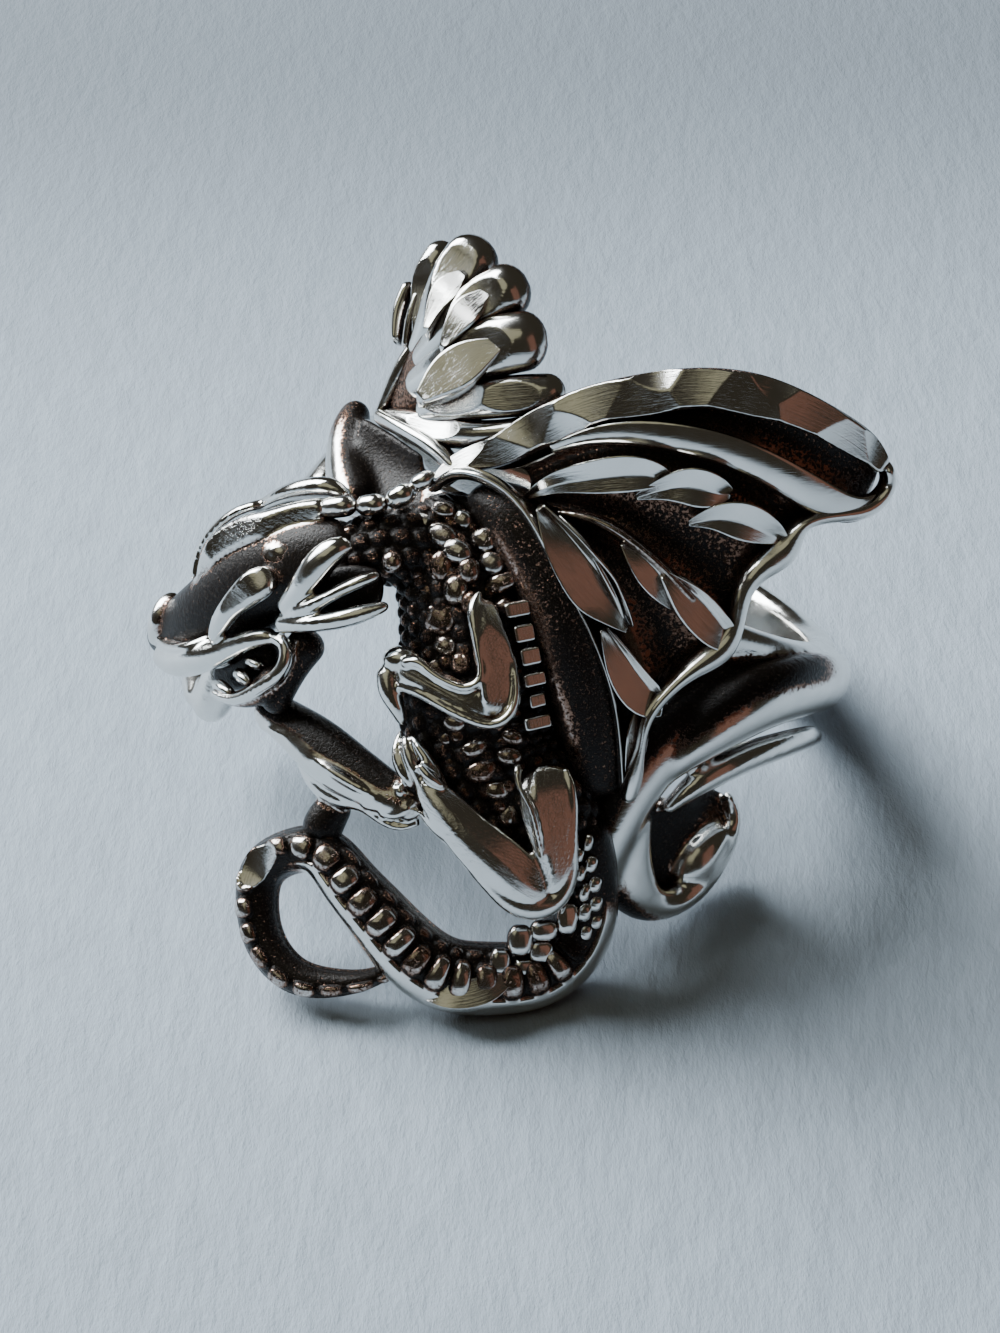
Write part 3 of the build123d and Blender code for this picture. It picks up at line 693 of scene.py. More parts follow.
LOWER_JAW = (
    (282, 668, 128, 13, 15), (266, 688, 128, 13, 15), (246, 698, 128, 9, 13), (222, 697, 128, 5, 10),
)
THROAT = (
    (270, 712, 122, 14, 14), (280, 692, 124, 14, 16), (294, 664, 124, 16, 17), (316, 632, 122, 20, 18),
)
MOUTH = (
    (218, 678, 118, 11, 10), (240, 670, 120, 19, 12), (262, 658, 122, 20, 13), (278, 652, 122, 14, 12),
)
TOOTH_ROOT_LIFT = 134
TOOTH_LIFT = 138
# root x, root y, tip x, tip y, half width
TEETH = (
    (217, 684, 233, 695, 6), (238, 673, 251, 684, 6), (250, 661, 262, 667, 5), (217, 665, 232, 662, 4),
)
NOSTRIL = (
    (156, 642, 150, 6, 8), (159, 626, 158, 11, 12), (167, 608, 158, 12, 12), (177, 596, 150, 7, 8),
)

# Near wing

WING_BAND = (
    (436, 484, 80, 9, 12), (462, 464, 82, 11, 15), (495, 452, 86, 14, 18), (530, 434, 88, 17, 19),
    (570, 414, 92, 18, 20), (610, 401, 96, 18, 20), (650, 394, 99, 19, 20), (700, 388, 103, 18, 19),
    (750, 394, 108, 19, 19), (800, 410, 113, 17, 18), (840, 430, 117, 15, 17), (868, 450, 119, 13, 15),
    (882, 468, 119, 9, 12),
)
WING_BAND_CUTS = (
    (0.1, 0.6, 0.3, 70), (0.17, 0.5, -0.12, 84), (0.24, 0.46, 0.16, 90), (0.31, 0.52, -0.4, 60),
    (0.38, 0.44, 0.1, 96), (0.47, 0.42, -0.14, 110), (0.51, 0.52, 0.42, 54), (0.58, 0.44, 0.06, 104),
    (0.67, 0.42, -0.12, 110), (0.72, 0.5, 0.44, 50), (0.79, 0.42, 0.05, 104), (0.88, 0.45, -0.2, 80),
    (0.95, 0.5, 0.3, 50),
)
RIDGE_A = (
    (552, 450, 82, 4, 8), (590, 438, 88, 8, 12), (640, 434, 94, 12, 15), (700, 443, 100, 14, 16),
    (750, 460, 105, 15, 17), (790, 481, 109, 16, 17), (822, 499, 112, 16, 16), (856, 508, 114, 12, 14),
    (880, 498, 115, 7, 10),
)
# Each leaf is its valley, then its rows
RIB_LEAVES = (
    ((0.34, 0.1, 0.3), (
        (526, 498, 90, 2, 5), (552, 485, 97, 8, 12), (590, 478, 102, 14, 16), (628, 474, 105, 16, 17),
        (656, 476, 106, 11, 14), (674, 482, 104, 2, 6),
    )),
    ((0.3, 0.05, 0.28), (
        (636, 498, 98, 2, 5), (664, 489, 105, 10, 13), (694, 487, 109, 17, 17), (716, 492, 110, 13, 15),
        (731, 494, 108, 3, 7),
    )),
    ((0.3, 0.1, 0.26), (
        (688, 524, 102, 2, 5), (714, 518, 107, 11, 13), (742, 521, 111, 17, 16),
        (766, 531, 112, 12, 14), (784, 540, 110, 3, 7),
    )),
    ((0.8, -0.5, 1.0), (
        (620, 539, 86, 2, 20), (636, 558, 85, 10, 26), (654, 580, 85, 12, 26), (670, 604, 84, 2, 18),
    )),
    ((0.78, -0.5, 1.0), (
        (656, 566, 90, 3, 24), (678, 590, 86, 14, 32), (698, 613, 87, 17, 32), (714, 630, 87, 12, 30),
        (724, 638, 86, 4, 24),
    )),
    ((0.62, -0.58, 1.0), (
        (540, 504, 91, 3, 26), (556, 532, 88, 13, 33), (576, 564, 87, 20, 34), (598, 594, 85, 20, 34),
        (614, 612, 85, 11, 32), (625, 624, 84, 3, 28),
    )),
    ((0.73, -0.6, 1.0), (
        (600, 620, 84, 3, 26), (613, 650, 81, 12, 30), (629, 680, 81, 17, 30), (646, 698, 81, 13, 28),
        (658, 705, 81, 4, 24),
    )),
    ((0.72, -0.64, 1.0), (
        (642, 694, 80, 3, 22), (636, 722, 79, 9, 26), (631, 752, 77, 8, 24), (626, 786, 74, 3, 18),
    )),
)
RIB_THREE = (
    (558, 512, 84, 3, 7), (598, 521, 91, 6, 13), (634, 543, 96, 6, 14), (664, 569, 100, 6, 13),
    (694, 602, 104, 5, 11),
)
RIB_FOUR_EDGE = (
    (560, 516, 90, 2, 4), (584, 542, 103, 3, 6), (603, 574, 109, 3, 7), (617, 602, 106, 3, 6),
    (624, 620, 100, 2, 4),
)
WING_RIM = (
    (884, 462, 118, 6, 12), (887, 484, 118, 7, 14), (872, 504, 117, 9, 15), (846, 513, 115, 8, 15),
    (820, 517, 112, 7, 14), (800, 526, 110, 8, 15), (785, 548, 109, 13, 15), (760, 568, 108, 12, 15),
    (744, 590, 107, 9, 14), (736, 620, 106, 8, 14), (722, 647, 105, 12, 15), (695, 667, 104, 10, 15),
    (667, 691, 102, 7, 14), (648, 716, 101, 6, 14), (640, 745, 99, 5, 14), (632, 780, 96, 9, 14),
    (626, 800, 92, 8, 12),
)
# Each line over the skin is its tarnish, then its rows
WING_SKIN = (
    (0.6, (
        (480, 462, 72), (560, 415, 82), (650, 396, 92), (740, 388, 100), (820, 408, 107),
        (880, 462, 110),
    )),
    (0.77, (
        (500, 470, 66), (600, 430, 74), (690, 417, 82), (760, 427, 90), (820, 450, 96), (872, 488, 98),
    )),
    (0.2, (
        (520, 468, 72), (590, 440, 80), (660, 436, 88), (740, 452, 96), (800, 488, 102),
        (850, 508, 104),
    )),
    (0.75, (
        (530, 478, 66), (600, 452, 74), (680, 455, 82), (740, 480, 88), (780, 510, 94), (800, 526, 94),
    )),
    (0.42, (
        (530, 492, 72), (600, 480, 82), (670, 487, 90), (720, 502, 95), (755, 525, 98), (775, 548, 98),
    )),
    (0.77, (
        (535, 500, 66), (600, 512, 74), (660, 530, 82), (700, 558, 86), (725, 590, 90), (740, 612, 91),
    )),
    (0.4, (
        (545, 503, 72), (600, 525, 80), (650, 562, 87), (685, 600, 92), (710, 630, 96), (722, 646, 96),
    )),
    (0.75, (
        (552, 512, 68), (600, 548, 74), (640, 590, 80), (660, 630, 84), (672, 665, 86), (684, 680, 86),
    )),
    (0.4, (
        (556, 520, 76), (590, 570, 82), (615, 610, 86), (635, 650, 88), (650, 690, 90), (655, 706, 90),
    )),
    (0.77, (
        (550, 522, 74), (578, 575, 78), (600, 620, 82), (615, 665, 82), (630, 705, 82), (642, 735, 82),
    )),
    (0.68, (
        (536, 530, 80), (560, 580, 86), (583, 622, 86), (600, 662, 86), (613, 710, 84), (626, 790, 78),
    )),
)

# Far wing

FAR_LOBES = (
    ((418, 348, 70, 7, 12), (424, 308, 76, 12, 17), (433, 270, 79, 16, 19), (450, 243, 76, 13, 15)),
    ((418, 358, 70, 12, 14), (436, 322, 77, 19, 20), (458, 280, 80, 26, 24), (486, 240, 70, 26, 22)),
    ((420, 366, 73, 12, 14), (450, 334, 81, 20, 21), (482, 306, 84, 25, 24), (528, 280, 72, 25, 21)),
    ((412, 390, 74, 14, 14), (454, 364, 83, 24, 21), (498, 346, 86, 28, 24), (548, 338, 72, 26, 20)),
    ((420, 410, 74, 13, 12), (466, 402, 80, 17, 17), (514, 396, 80, 19, 18), (566, 392, 68, 17, 15)),
    (
        (388, 418, 66, 9, 12), (425, 427, 72, 14, 15), (462, 434, 74, 14, 16), (505, 432, 74, 12, 14),
        (556, 418, 74, 8, 10),
    ),
)
FAR_LOBE_CUTS = (
    ((0.5, 0.7, 0.1, 60),),
    ((0.72, 0.74, 0.1, 46),),
    ((0.7, 0.74, 0.1, 46),),
    ((0.66, 0.72, -0.1, 50),),
    ((0.35, 0.6, 0.1, 70), (0.7, 0.7, -0.1, 50)),
    ((0.4, 0.6, 0.2, 60),),
)
# Long flats cut over the lobes, from the fan's edge to its root
FAR_LEAVES = (
    ((470, 272, 84, 3, 14), (457, 289, 86, 12, 24), (441, 312, 93, 10, 24), (427, 338, 104, 2, 14)),
    ((494, 290, 86, 3, 14), (478, 308, 88, 12, 24), (459, 331, 96, 11, 24), (442, 354, 106, 2, 14)),
    ((508, 342, 88, 4, 14), (478, 360, 92, 17, 24), (446, 382, 103, 17, 24), (418, 404, 118, 4, 14)),
)
FAR_VALLEY = (0.8, 0.9, 0.8)
FAR_EDGE_RIDGES = (
    ((398, 345, 78, 5, 12), (402, 310, 82, 8, 14), (413, 282, 83, 7, 12)),
    ((408, 350, 74, 5, 12), (414, 318, 79, 6, 14), (422, 292, 81, 5, 12)),
)
FAR_STEM = (
    (380, 420, 64, 6, 12), (392, 394, 66, 8, 14), (408, 362, 68, 9, 15), (428, 330, 68, 6, 12),
)
FAR_PALM = (
    (398, 414, 56, 15, 12), (430, 382, 64, 34, 16), (462, 346, 66, 48, 18), (486, 312, 60, 40, 14),
)
WING_YOKE = (
    (384, 418, 64, 9, 16), (410, 432, 72, 9, 16), (440, 452, 76, 9, 16), (462, 474, 78, 8, 14),
)

# Limbs

ARM = (
    (480, 600, 112, 12, 12), (486, 624, 118, 14, 15), (492, 650, 122, 17, 17), (498, 680, 124, 18, 18),
    (500, 706, 123, 17, 17), (497, 717, 120, 12, 13),
)
ARM_PLANES = ((0.5, 0.80, 0.05, WHOLE), (0.5, 0.88, 0.62, WHOLE), (0.62, 0.5, 0.30, 110))
FOREARM = (
    (500, 710, 123, 15, 15), (475, 706, 125, 17, 16), (448, 694, 126, 16, 15), (420, 680, 125, 14, 14),
    (398, 670, 121, 13, 13),
)
FOREARM_PLANES = ((0.5, 0.78, 0.12, WHOLE), (0.5, 0.95, 0.7, WHOLE))
ARM_RIM = (
    (398, 686, 124, 4, 6), (420, 693, 129, 5, 7), (445, 707, 132, 5, 8), (470, 719, 133, 5, 8),
    (492, 724, 133, 5, 8), (507, 717, 132, 5, 8), (515, 702, 129, 4, 7), (516, 680, 125, 3, 6),
    (513, 656, 119, 2, 4),
)
ARM_EDGE = (
    (402, 664, 132, 5, 6), (418, 662, 134, 5, 6), (431, 672, 135, 4, 6), (450, 683, 136, 4, 6),
    (468, 687, 136, 4, 6), (479, 680, 135, 4, 6), (479, 655, 132, 4, 6), (475, 630, 128, 5, 7),
    (474, 608, 122, 6, 7), (480, 592, 113, 3, 4),
)
HAND_FINGERS = (
    ((418, 668, 120, 12, 12), (398, 660, 121, 13, 13), (388, 670, 120, 12, 12)),
    ((388, 664, 120, 10, 11), (390, 690, 121, 11, 12), (396, 706, 119, 8, 10), (403, 724, 112, 4, 6)),
)
THIGH = (
    (540, 764, 96, 13, 12), (546, 786, 108, 24, 19), (550, 816, 117, 25, 21), (555, 850, 121, 20, 20),
    (556, 878, 121, 18, 18), (548, 896, 119, 18, 16),
)
THIGH_PLANES = (
    (0.5, 0.80, -0.10, WHOLE),
    (0.5, 0.84, 0.66, WHOLE),
    (0.4, 0.46, 0.34, 150),
    (0.5, 0.9, -0.55, WHOLE),
)
SHIN = (
    (548, 898, 119, 17, 16), (528, 888, 123, 23, 19), (504, 867, 125, 25, 20), (474, 840, 124, 22, 19),
    (449, 813, 121, 18, 17), (430, 789, 117, 13, 14), (420, 770, 110, 6, 8),
)
SHIN_PLANES = ((0.5, 0.78, 0.06, WHOLE), (0.5, 0.86, -0.52, WHOLE), (0.5, 1.0, 0.7, WHOLE))
LEG_RIM = (
    (421, 812, 114, 3, 6), (434, 825, 119, 6, 9), (452, 842, 122, 6, 9), (471, 864, 124, 7, 10),
    (491, 886, 125, 8, 11), (511, 902, 125, 10, 12), (535, 907, 125, 12, 13), (556, 899, 124, 10, 12),
    (568, 880, 122, 8, 11), (572, 850, 119, 6, 9), (573, 815, 115, 5, 8), (571, 785, 110, 4, 7),
    (566, 768, 104, 2, 5),
)
KNEE_LINE = (
    (519, 764, 112, 5, 6), (518, 782, 121, 3, 5), (528, 802, 128, 3, 5), (537, 830, 131, 3, 5),
    (543, 858, 131, 2, 4),
)
TOES = (
    (
        (418, 792, 108, 2, 4), (408, 780, 112, 5, 7), (399, 762, 112, 6, 8), (397, 744, 108, 4, 6),
        (402, 730, 104, 2, 4),
    ),
    ((424, 792, 112, 4, 6), (417, 775, 116, 6, 8), (409, 754, 116, 6, 8), (405, 736, 110, 4, 6)),
    ((446, 788, 118, 3, 5), (434, 770, 120, 5, 7), (422, 752, 119, 5, 7), (412, 736, 112, 3, 5)),
    ((444, 787, 124, 3, 5), (430, 777, 128, 5, 6), (419, 764, 126, 4, 5)),
)
STRUT = (
    (262, 704, 100, 18, 18), (284, 719, 100, 20, 19), (314, 742, 100, 25, 20), (346, 768, 100, 26, 20),
    (378, 788, 102, 22, 18), (406, 804, 104, 17, 16), (424, 812, 105, 12, 12),
)
STRUT_EDGES = (
    ((296, 746, 112, 2, 4), (322, 764, 116, 5, 7), (354, 784, 117, 6, 8), (384, 800, 114, 3, 5)),
    ((262, 726, 108, 3, 5), (280, 732, 112, 6, 8), (300, 742, 112, 4, 7), (320, 754, 110, 2, 4)),
    (
        (298, 752, 94, 4, 6), (314, 778, 96, 9, 11), (338, 797, 98, 10, 12), (362, 805, 102, 7, 10),
        (384, 821, 104, 5, 8), (402, 827, 105, 4, 7), (420, 822, 106, 3, 5),
    ),
)
FAR_CLAWS = (
    ((402, 796, 116, 5, 7), (398, 784, 114, 4, 5)),
    ((390, 794, 114, 5, 6), (378, 798, 112, 3, 5)),
    ((412, 804, 116, 6, 7), (396, 814, 114, 5, 6), (380, 812, 110, 4, 5)),
    ((362, 802, 110, 5, 6), (378, 806, 112, 5, 6), (396, 804, 114, 4, 5)),
)
TAIL_LINK = (
    (346, 796, 90, 12, 12), (334, 808, 90, 17, 15), (324, 824, 90, 19, 17), (318, 842, 88, 20, 17),
)

# Tail

TAIL = (
    (590, 815, 78, 17, 24), (592, 860, 79, 24, 28), (586, 905, 80, 30, 29), (566, 948, 82, 33, 30),
    (532, 973, 84, 33, 29), (490, 978, 85, 34, 28), (446, 973, 85, 34, 28), (410, 950, 85, 33, 27),
    (378, 915, 86, 30, 26), (348, 880, 86, 27, 25), (322, 852, 86, 24, 23), (290, 852, 86, 22, 21),
    (262, 872, 86, 22, 20), (257, 908, 86, 21, 19), (268, 948, 86, 20, 18), (296, 976, 85, 18, 17),
    (334, 983, 85, 14, 15), (368, 979, 85, 10, 12), (398, 966, 72, 7, 9),
)
TAIL_CUTS = ((0.685, 0.80, -0.25, 46),)
TAIL_LEAF = (
    (514, 973, 98, 3, 12), (490, 984, 98, 11, 22), (464, 992, 98, 12, 22), (442, 994, 95, 8, 20),
    (425, 994, 92, 2, 12),
)
TAIL_VALLEY = (0.76, 0.9, 0.78)
TAIL_CORNERS = (
    (520, 940, 12, 13), (544, 930, 13, 9), (541, 951, 12, 10), (524, 967, 11, 8), (567, 918, 10, 14),
    (500, 962, 10, 12),
)


def tail_scales(along, x, y, share):
    """Ribbed scales along the tail, between a smooth outer ribbon and a black inner strip.

    Across the strand x runs from the outer edge to the inner one. A scale is a rounded bump, one less a
    power of its distance from its middle, and no two are quite the same size. They begin past the hip, and
    round the loop they sit on the outer edge.
    """
    loop = smooth(0.60, 0.66, share)
    hip = 1 - smooth(0.17, 0.21, share)
    front = smooth(-0.25, 0.2, y)
    cell = along / 23.0 + 0.10 * np.sin(along / 41)
    odd = scattered(np.floor(cell))
    u = ((cell - np.floor(cell)) * 2 - 1) * (1.06 + 0.12 * odd)
    middle = 0.03 + 0.40 * loop + 0.06 * (odd - 0.5)
    rib = (np.abs(u) ** 3 + np.abs((x - middle) / (0.50 + 0.06 * odd - 0.12 * loop)) ** 3) ** (1 / 3)
    dome = np.clip(1 - rib**2.6, 0, 1) ** 0.5
    half = cell + 0.5
    beside = np.abs(((half - np.floor(half)) * 2 - 1) * 1.3)
    small = (beside**2.4 + np.abs((x - 0.74) / 0.13) ** 2.4) ** (1 / 2.4)
    bead_row = np.clip(1 - small**2, 0, 1) ** 0.6 * (1 - loop)
    ribbon = smooth(-0.42, -0.54, x) * (1 - loop) * smooth(0.09, 0.14, share)
    scales = dome * (1 - hip)
    height = 1.0 + 0.25 * (odd - 0.5)
    push = front * (7.0 * height * scales + 3.0 * bead_row * (1 - hip) + 1.0 * ribbon - 2.5 * (1 - ribbon))
    clean = np.maximum(smooth(0.35, 0.9, scales) * (0.52 + 0.26 * odd), ribbon)
    clean = np.maximum(clean, 0.4 * smooth(0.5, 0.9, bead_row))
    return push, 0.86 * (1 - clean) * (0.55 + 0.45 * front)


# Finishes

# How close-set each texture is, to the metre
GRAIN = 9000.0
PATCHES = 1400.0
DENTS = 1100.0
LINES = 900.0


def new_material(name):
    """An empty material of nodes, and its tree."""
    material = bpy.data.materials.new(name)
    material.use_nodes = True
    material.node_tree.nodes.clear()
    return material, material.node_tree


def linked(tree, kind, inputs=None, **settings):
    """A node of a kind with its settings, and its inputs set to values or linked from sockets."""
    node = tree.nodes.new(kind)
    for key, value in settings.items():
        setattr(node, key, value)
    for key, value in (inputs or {}).items():
        if isinstance(value, bpy.types.NodeSocket):
            tree.links.new(value, node.inputs[key])
        else:
            node.inputs[key].default_value = value
    return node


def worked_out(tree, operation, *values):
    """Arithmetic on up to three values or sockets, in order."""
    return linked(tree, "ShaderNodeMath", dict(enumerate(values)), operation=operation).outputs[0]


def ramp(tree, value, low, high, start=0.0, end=1.0, curve="LINEAR"):
    """A value's share of the way from low to high, read out between start and end and held beyond them."""
    inputs = {"Value": value, "From Min": low, "From Max": high, "To Min": start, "To Max": end}
    return linked(tree, "ShaderNodeMapRange", inputs, interpolation_type=curve).outputs[0]


def noise(tree, place, scale, detail, roughness=0.5):
    """Cloudy noise over a place, finer with scale and more broken with detail."""
    inputs = {"Vector": place, "Scale": scale, "Detail": detail, "Roughness": roughness}
    return linked(tree, "ShaderNodeTexNoise", inputs).outputs["Fac"]


def stretched(tree, place, scale, rotation=(0, 0, 0)):
    """A place turned and scaled, so that a pattern over it is drawn out."""
    inputs = {"Vector": place, "Rotation": rotation, "Scale": scale}
    return linked(tree, "ShaderNodeMapping", inputs).outputs[0]


def blended(tree, share, first, second):
    """Two colours mixed by a share."""
    return linked(tree, "ShaderNodeMix", {0: share, 6: first, 7: second}, data_type="RGBA").outputs[2]


def tinted(colour, share=1.0):
    """A colour times a share, with full cover."""
    return (*[part * share for part in colour], 1)


def silver_finish():
    """Polished silver that blackens in its recesses, made once and then shared by all pieces.

    A place is as black as its recess is closed in or as its own tarnish, whichever is more, and in some
    places that tarnish is painted shade and painted reflection. Noise breaks up the border, and half-black
    metal beside it has the worn colour, which where a tarnish is set half way also stands as a painted
    copper reflection. Polishing lines and dents are bump, and cut flats are scored along their run.
    """
    made = bpy.data.materials.get("oxidised_silver")
    if made:
        return made
    finish = bpy.context.scene.dragon_ring_finish
    material, tree = new_material("oxidised_silver")
    place = linked(tree, "ShaderNodeTexCoord").outputs["Object"]
    stain_and_shade = linked(tree, "ShaderNodeAttribute", attribute_name="tarnish").outputs["Fac"]
    hollow = linked(tree, "ShaderNodeAmbientOcclusion", {"Distance": finish.recess_reach}, samples=8)
    closed_in = ramp(tree, hollow.outputs["AO"], 0.24, 0.57, 1.0, 0.0)
    both = worked_out(tree, "MAXIMUM", closed_in, stain_and_shade)
    grain = noise(tree, place, GRAIN, 3.0, 0.7)
    patch = noise(tree, place, PATCHES, 2.0)
    ragged = worked_out(tree, "SUBTRACT", grain, 0.5)
    rough_edge = worked_out(tree, "MULTIPLY_ADD", ragged, 1.7, both)
    soft_edge = worked_out(tree, "MULTIPLY_ADD", ragged, 0.6, both)
    black = ramp(tree, rough_edge, 0.50, 0.66, curve="SMOOTHSTEP")
    # Half-black metal: real worn oxide, and a painted copper reflection where a tarnish is set half way
    worn = ramp(tree, soft_edge, 0.10, 0.50, curve="SMOOTHSTEP")
    bright = blended(tree, patch, tinted(finish.silver), tinted(finish.silver, 0.86))
    silver = blended(tree, worn, bright, tinted(finish.worn))
    fleck = ramp(tree, grain, 0.55, 0.75)
    oxide = blended(tree, fleck, tinted(finish.oxide), tinted(finish.oxide, 5))
    gloss = ramp(tree, patch, 0.3, 0.7, 0.10, 0.22)
    rough = linked(tree, "ShaderNodeMix", {0: black, 2: gloss, 3: 0.26}, data_type="FLOAT").outputs[0]
    lines = noise(tree, stretched(tree, place, (1.0, 14.0, 14.0), (0.4, 0.7, 0.5)), LINES, 3.0)
    surface = worked_out(tree, "MULTIPLY_ADD", noise(tree, place, DENTS, 2.0), 3.0, lines)
    run = linked(tree, "ShaderNodeAttribute", attribute_name="run").outputs["Vector"]
    flat = linked(tree, "ShaderNodeSeparateXYZ", {0: run}).outputs["Z"]
    chatter = noise(tree, stretched(tree, run, (0.02, 0.6, 0.0)), 1.0, 4.0, 0.65)
    graved = worked_out(tree, "MULTIPLY", chatter, flat)
    scored = worked_out(tree, "MULTIPLY_ADD", graved, 2.6, surface)
    pitted = worked_out(tree, "MULTIPLY", black, grain)
    heights = worked_out(tree, "MULTIPLY_ADD", pitted, 9.0, scored)
    inputs = {
        "Base Color": blended(tree, black, silver, oxide),
        "Roughness": rough,
        "Metallic": ramp(tree, black, 0.0, 1.0, 1.0, 0.2),
        "Specular IOR Level": 0.24,
    }
    shaded(tree, inputs, heights, 0.6, 0.000006)
    return material


def shaded(tree, inputs, heights, strength, distance):
    """The shader with its inputs, its surface raised by heights, linked to the material's output."""
    raised = {"Height": heights, "Strength": strength, "Distance": distance}
    inputs["Normal"] = linked(tree, "ShaderNodeBump", raised).outputs[0]
    shader = linked(tree, "ShaderNodeBsdfPrincipled", inputs).outputs[0]
    linked(tree, "ShaderNodeOutputMaterial", {"Surface": shader})


def cloth_finish():
    """Pale ribbed cloth: noise drawn out across the view, fading darker towards the back: painted shade for
    the light's fall-off.
    """
    settings = bpy.context.scene.dragon_ring_stage
    material, tree = new_material("pale_cloth")
    place = linked(tree, "ShaderNodeTexCoord").outputs["Object"]
    weave = noise(tree, stretched(tree, place, (1.0, 0.35, 1.0), (0, 0, 0.35)), LINES, 5.0, 0.72)
    near = blended(tree, weave, tinted(settings.floor, 0.66), tinted(settings.floor))
    # Painted shade: the cloth darkens towards the back as if the light fell off there
    depth = linked(tree, "ShaderNodeSeparateXYZ", {0: place}).outputs["Y"]
    painted_falloff = ramp(tree, depth, 0.014, 0.060, curve="SMOOTHSTEP")
    tone = blended(tree, painted_falloff, near, tinted(settings.floor, 0.40))
    shaded(tree, {"Base Color": tone, "Roughness": 0.85}, weave, 0.5, 0.0003)
    return material


# Settings and operators


class RingFinish(bpy.types.PropertyGroup):
    """Colours of the metal"""

    silver: FloatVectorProperty(
        name="Silver",
        description="Colour of the polished metal",
        subtype="COLOR",
        size=3,
        default=(0.90, 0.89, 0.86),
        min=0,
        max=1,
    )
    oxide: FloatVectorProperty(
        name="Oxide",
        description="Colour of the blackened recesses",
        subtype="COLOR",
        size=3,
        default=(0.010, 0.0075, 0.006),
        min=0,
        max=1,
    )
    # Besides half-worn oxide, this colour stands as a painted copper reflection where a tarnish is set half
    # way
    worn: FloatVectorProperty(
        name="Worn",
        description="Colour of the half-blackened metal beside the recesses",
        subtype="COLOR",
        size=3,
        default=(0.215, 0.125, 0.088),
        min=0,
        max=1,
    )
    recess_reach: FloatProperty(
        name="Recess reach",
        description="How far apart the walls of a blackened recess may stand",
        unit="LENGTH",
        default=0.0009,
        min=0,
    )


class StageSettings(bpy.types.PropertyGroup):
    """Colour of the floor and strength of the lights"""

    floor: FloatVectorProperty(
        name="Floor",
        description="Colour of the pale cloth under the ring",
        subtype="COLOR",
        size=3,
        default=(0.48, 0.57, 0.665),
        min=0,
        max=1,
    )
    window_power: FloatProperty(
        name="Window",
        description="Strength of the soft lights, led by the window at the back left",
        default=0.40,
        min=0,
    )


class OBJECT_OT_band_and_shoulders(bpy.types.Operator):
    """Make the finger band with its shoulders and scrolls"""

    bl_idname = "dragon_ring.band_and_shoulders"
    bl_label = "Band and Shoulders"

    def execute(self, context):
        shells = [band_shell()]
        for rows in (SHOULDER_SWEEP, SHOULDER_EDGE, SHOULDER_SCROLL, SCROLL_BULB):
            shells.append(stroke(left_hand(rows), facing=0, mapping=on_finger, around=48))
        main_strand, small_strand, crescent, bulb = DRAWN_SHOULDER
        shells += [
            # The right sweep carries painted shade and a painted dark reflection of the wing over it
            stroke(SHOULDER_SWEEP, facing=0, mapping=on_finger, around=64, relief=painted_wing_shade),
            # The left band's inner side and top end carry painted shade and a painted dark reflection
            stroke(LEFT_BAND, around=48, relief=painted_end_shade),
            # A black sheet of painted shade in the shadowed gap beside the left band
            slab(GAP_SHADOW_SHEET, 14, 60, 60),
            # The drawn main strand carries the same painted shade and dark reflection of the wing
            stroke(main_strand, facing=0.3, around=64, relief=painted_wing_shade),
            stroke(small_strand, facing=0.45, around=48),
            stroke(crescent, facing=0.45, around=64, relief=darkened_root),
            stroke(SCROLL_HOLLOW, facing=0.3, tarnish=1.0),
            stroke(bulb, facing=0.45, around=48),
            # The knob is half tarnished so that it takes the copper worn colour: a painted copper reflection
            bead(*SCROLL_KNOB, tip=-0.7, tarnish=0.45),
        ]
        cast("band_and_shoulders", [fused(shells, 0.12, 7, 90, 0.04, 0.22)])
        return {"FINISHED"}


class OBJECT_OT_body(bpy.types.Operator):
    """Make the body with its neck, pebbled skin, side beads and neck knuckles"""

    bl_idname = "dragon_ring.body"
    bl_label = "Body"

    def execute(self, context):
        shells = [
            stroke(TORSO, tarnish=0.80, relief=pebbled(3.4), around=150, pitch=2.2),
            stroke(NECK, facing=0.8, tarnish=0.78, relief=pebbled(1.9), around=110, pitch=2.0),
            # The flank roll's lighter line is a painted copper reflection
            stroke(FLANK_ROLL, tarnish=0.95, relief=roll_with_painted_reflection, around=80, pitch=2.0),
            stroke(FLANK_RIDGE, power=1.7),
        ]
        for x, y, half_width, half_height in PEBBLES:
            lift = max(skin_lift(x, y, TORSO), skin_lift(x, y, NECK[::-1]) if x < NECK_SIDE else 0)
            look = {
                "tarnish": 0.22 + 0.24 * float(scattered(np.float64(x * 3 + y))),
                "tip": 0.4 * math.sin(x * y),
                "round_off": 0.9,
                "power": 2.3,
                "roots": 0.9,
            }
            shells.append(bead(x, y, lift - 2, 1.25 * half_width, 1.25 * half_height, 9, **look))
        look = {"tip": 1.4, "round_off": 0.4, "power": 3.2, "roots": 0.9, "cuts": SIDE_BEAD_CUTS}
        for x, y, half_width, half_height in SIDE_BEADS:
            shells.append(bead(x, y, SIDE_BEAD_LIFT, 1.25 * half_height, 1.05 * half_width, 11, **look))
        for x, y, half_width, half_height in HIP_SCALES:
            shells.append(bead(x, y, HIP_LIFT, 1.2 * half_height, 1.4 * half_width, 9, tip=1.8, roots=0.9))
        for x, y, lift, half_width, half_height in NECK_KNUCKLES:
            tip = -0.12 if x < NECK_BEND else -0.5
            shells.append(bead(x, y, lift, half_width, half_height, 12, tip=tip, power=2.2, facing=1.0))
        cast("body", shells)
        return {"FINISHED"}


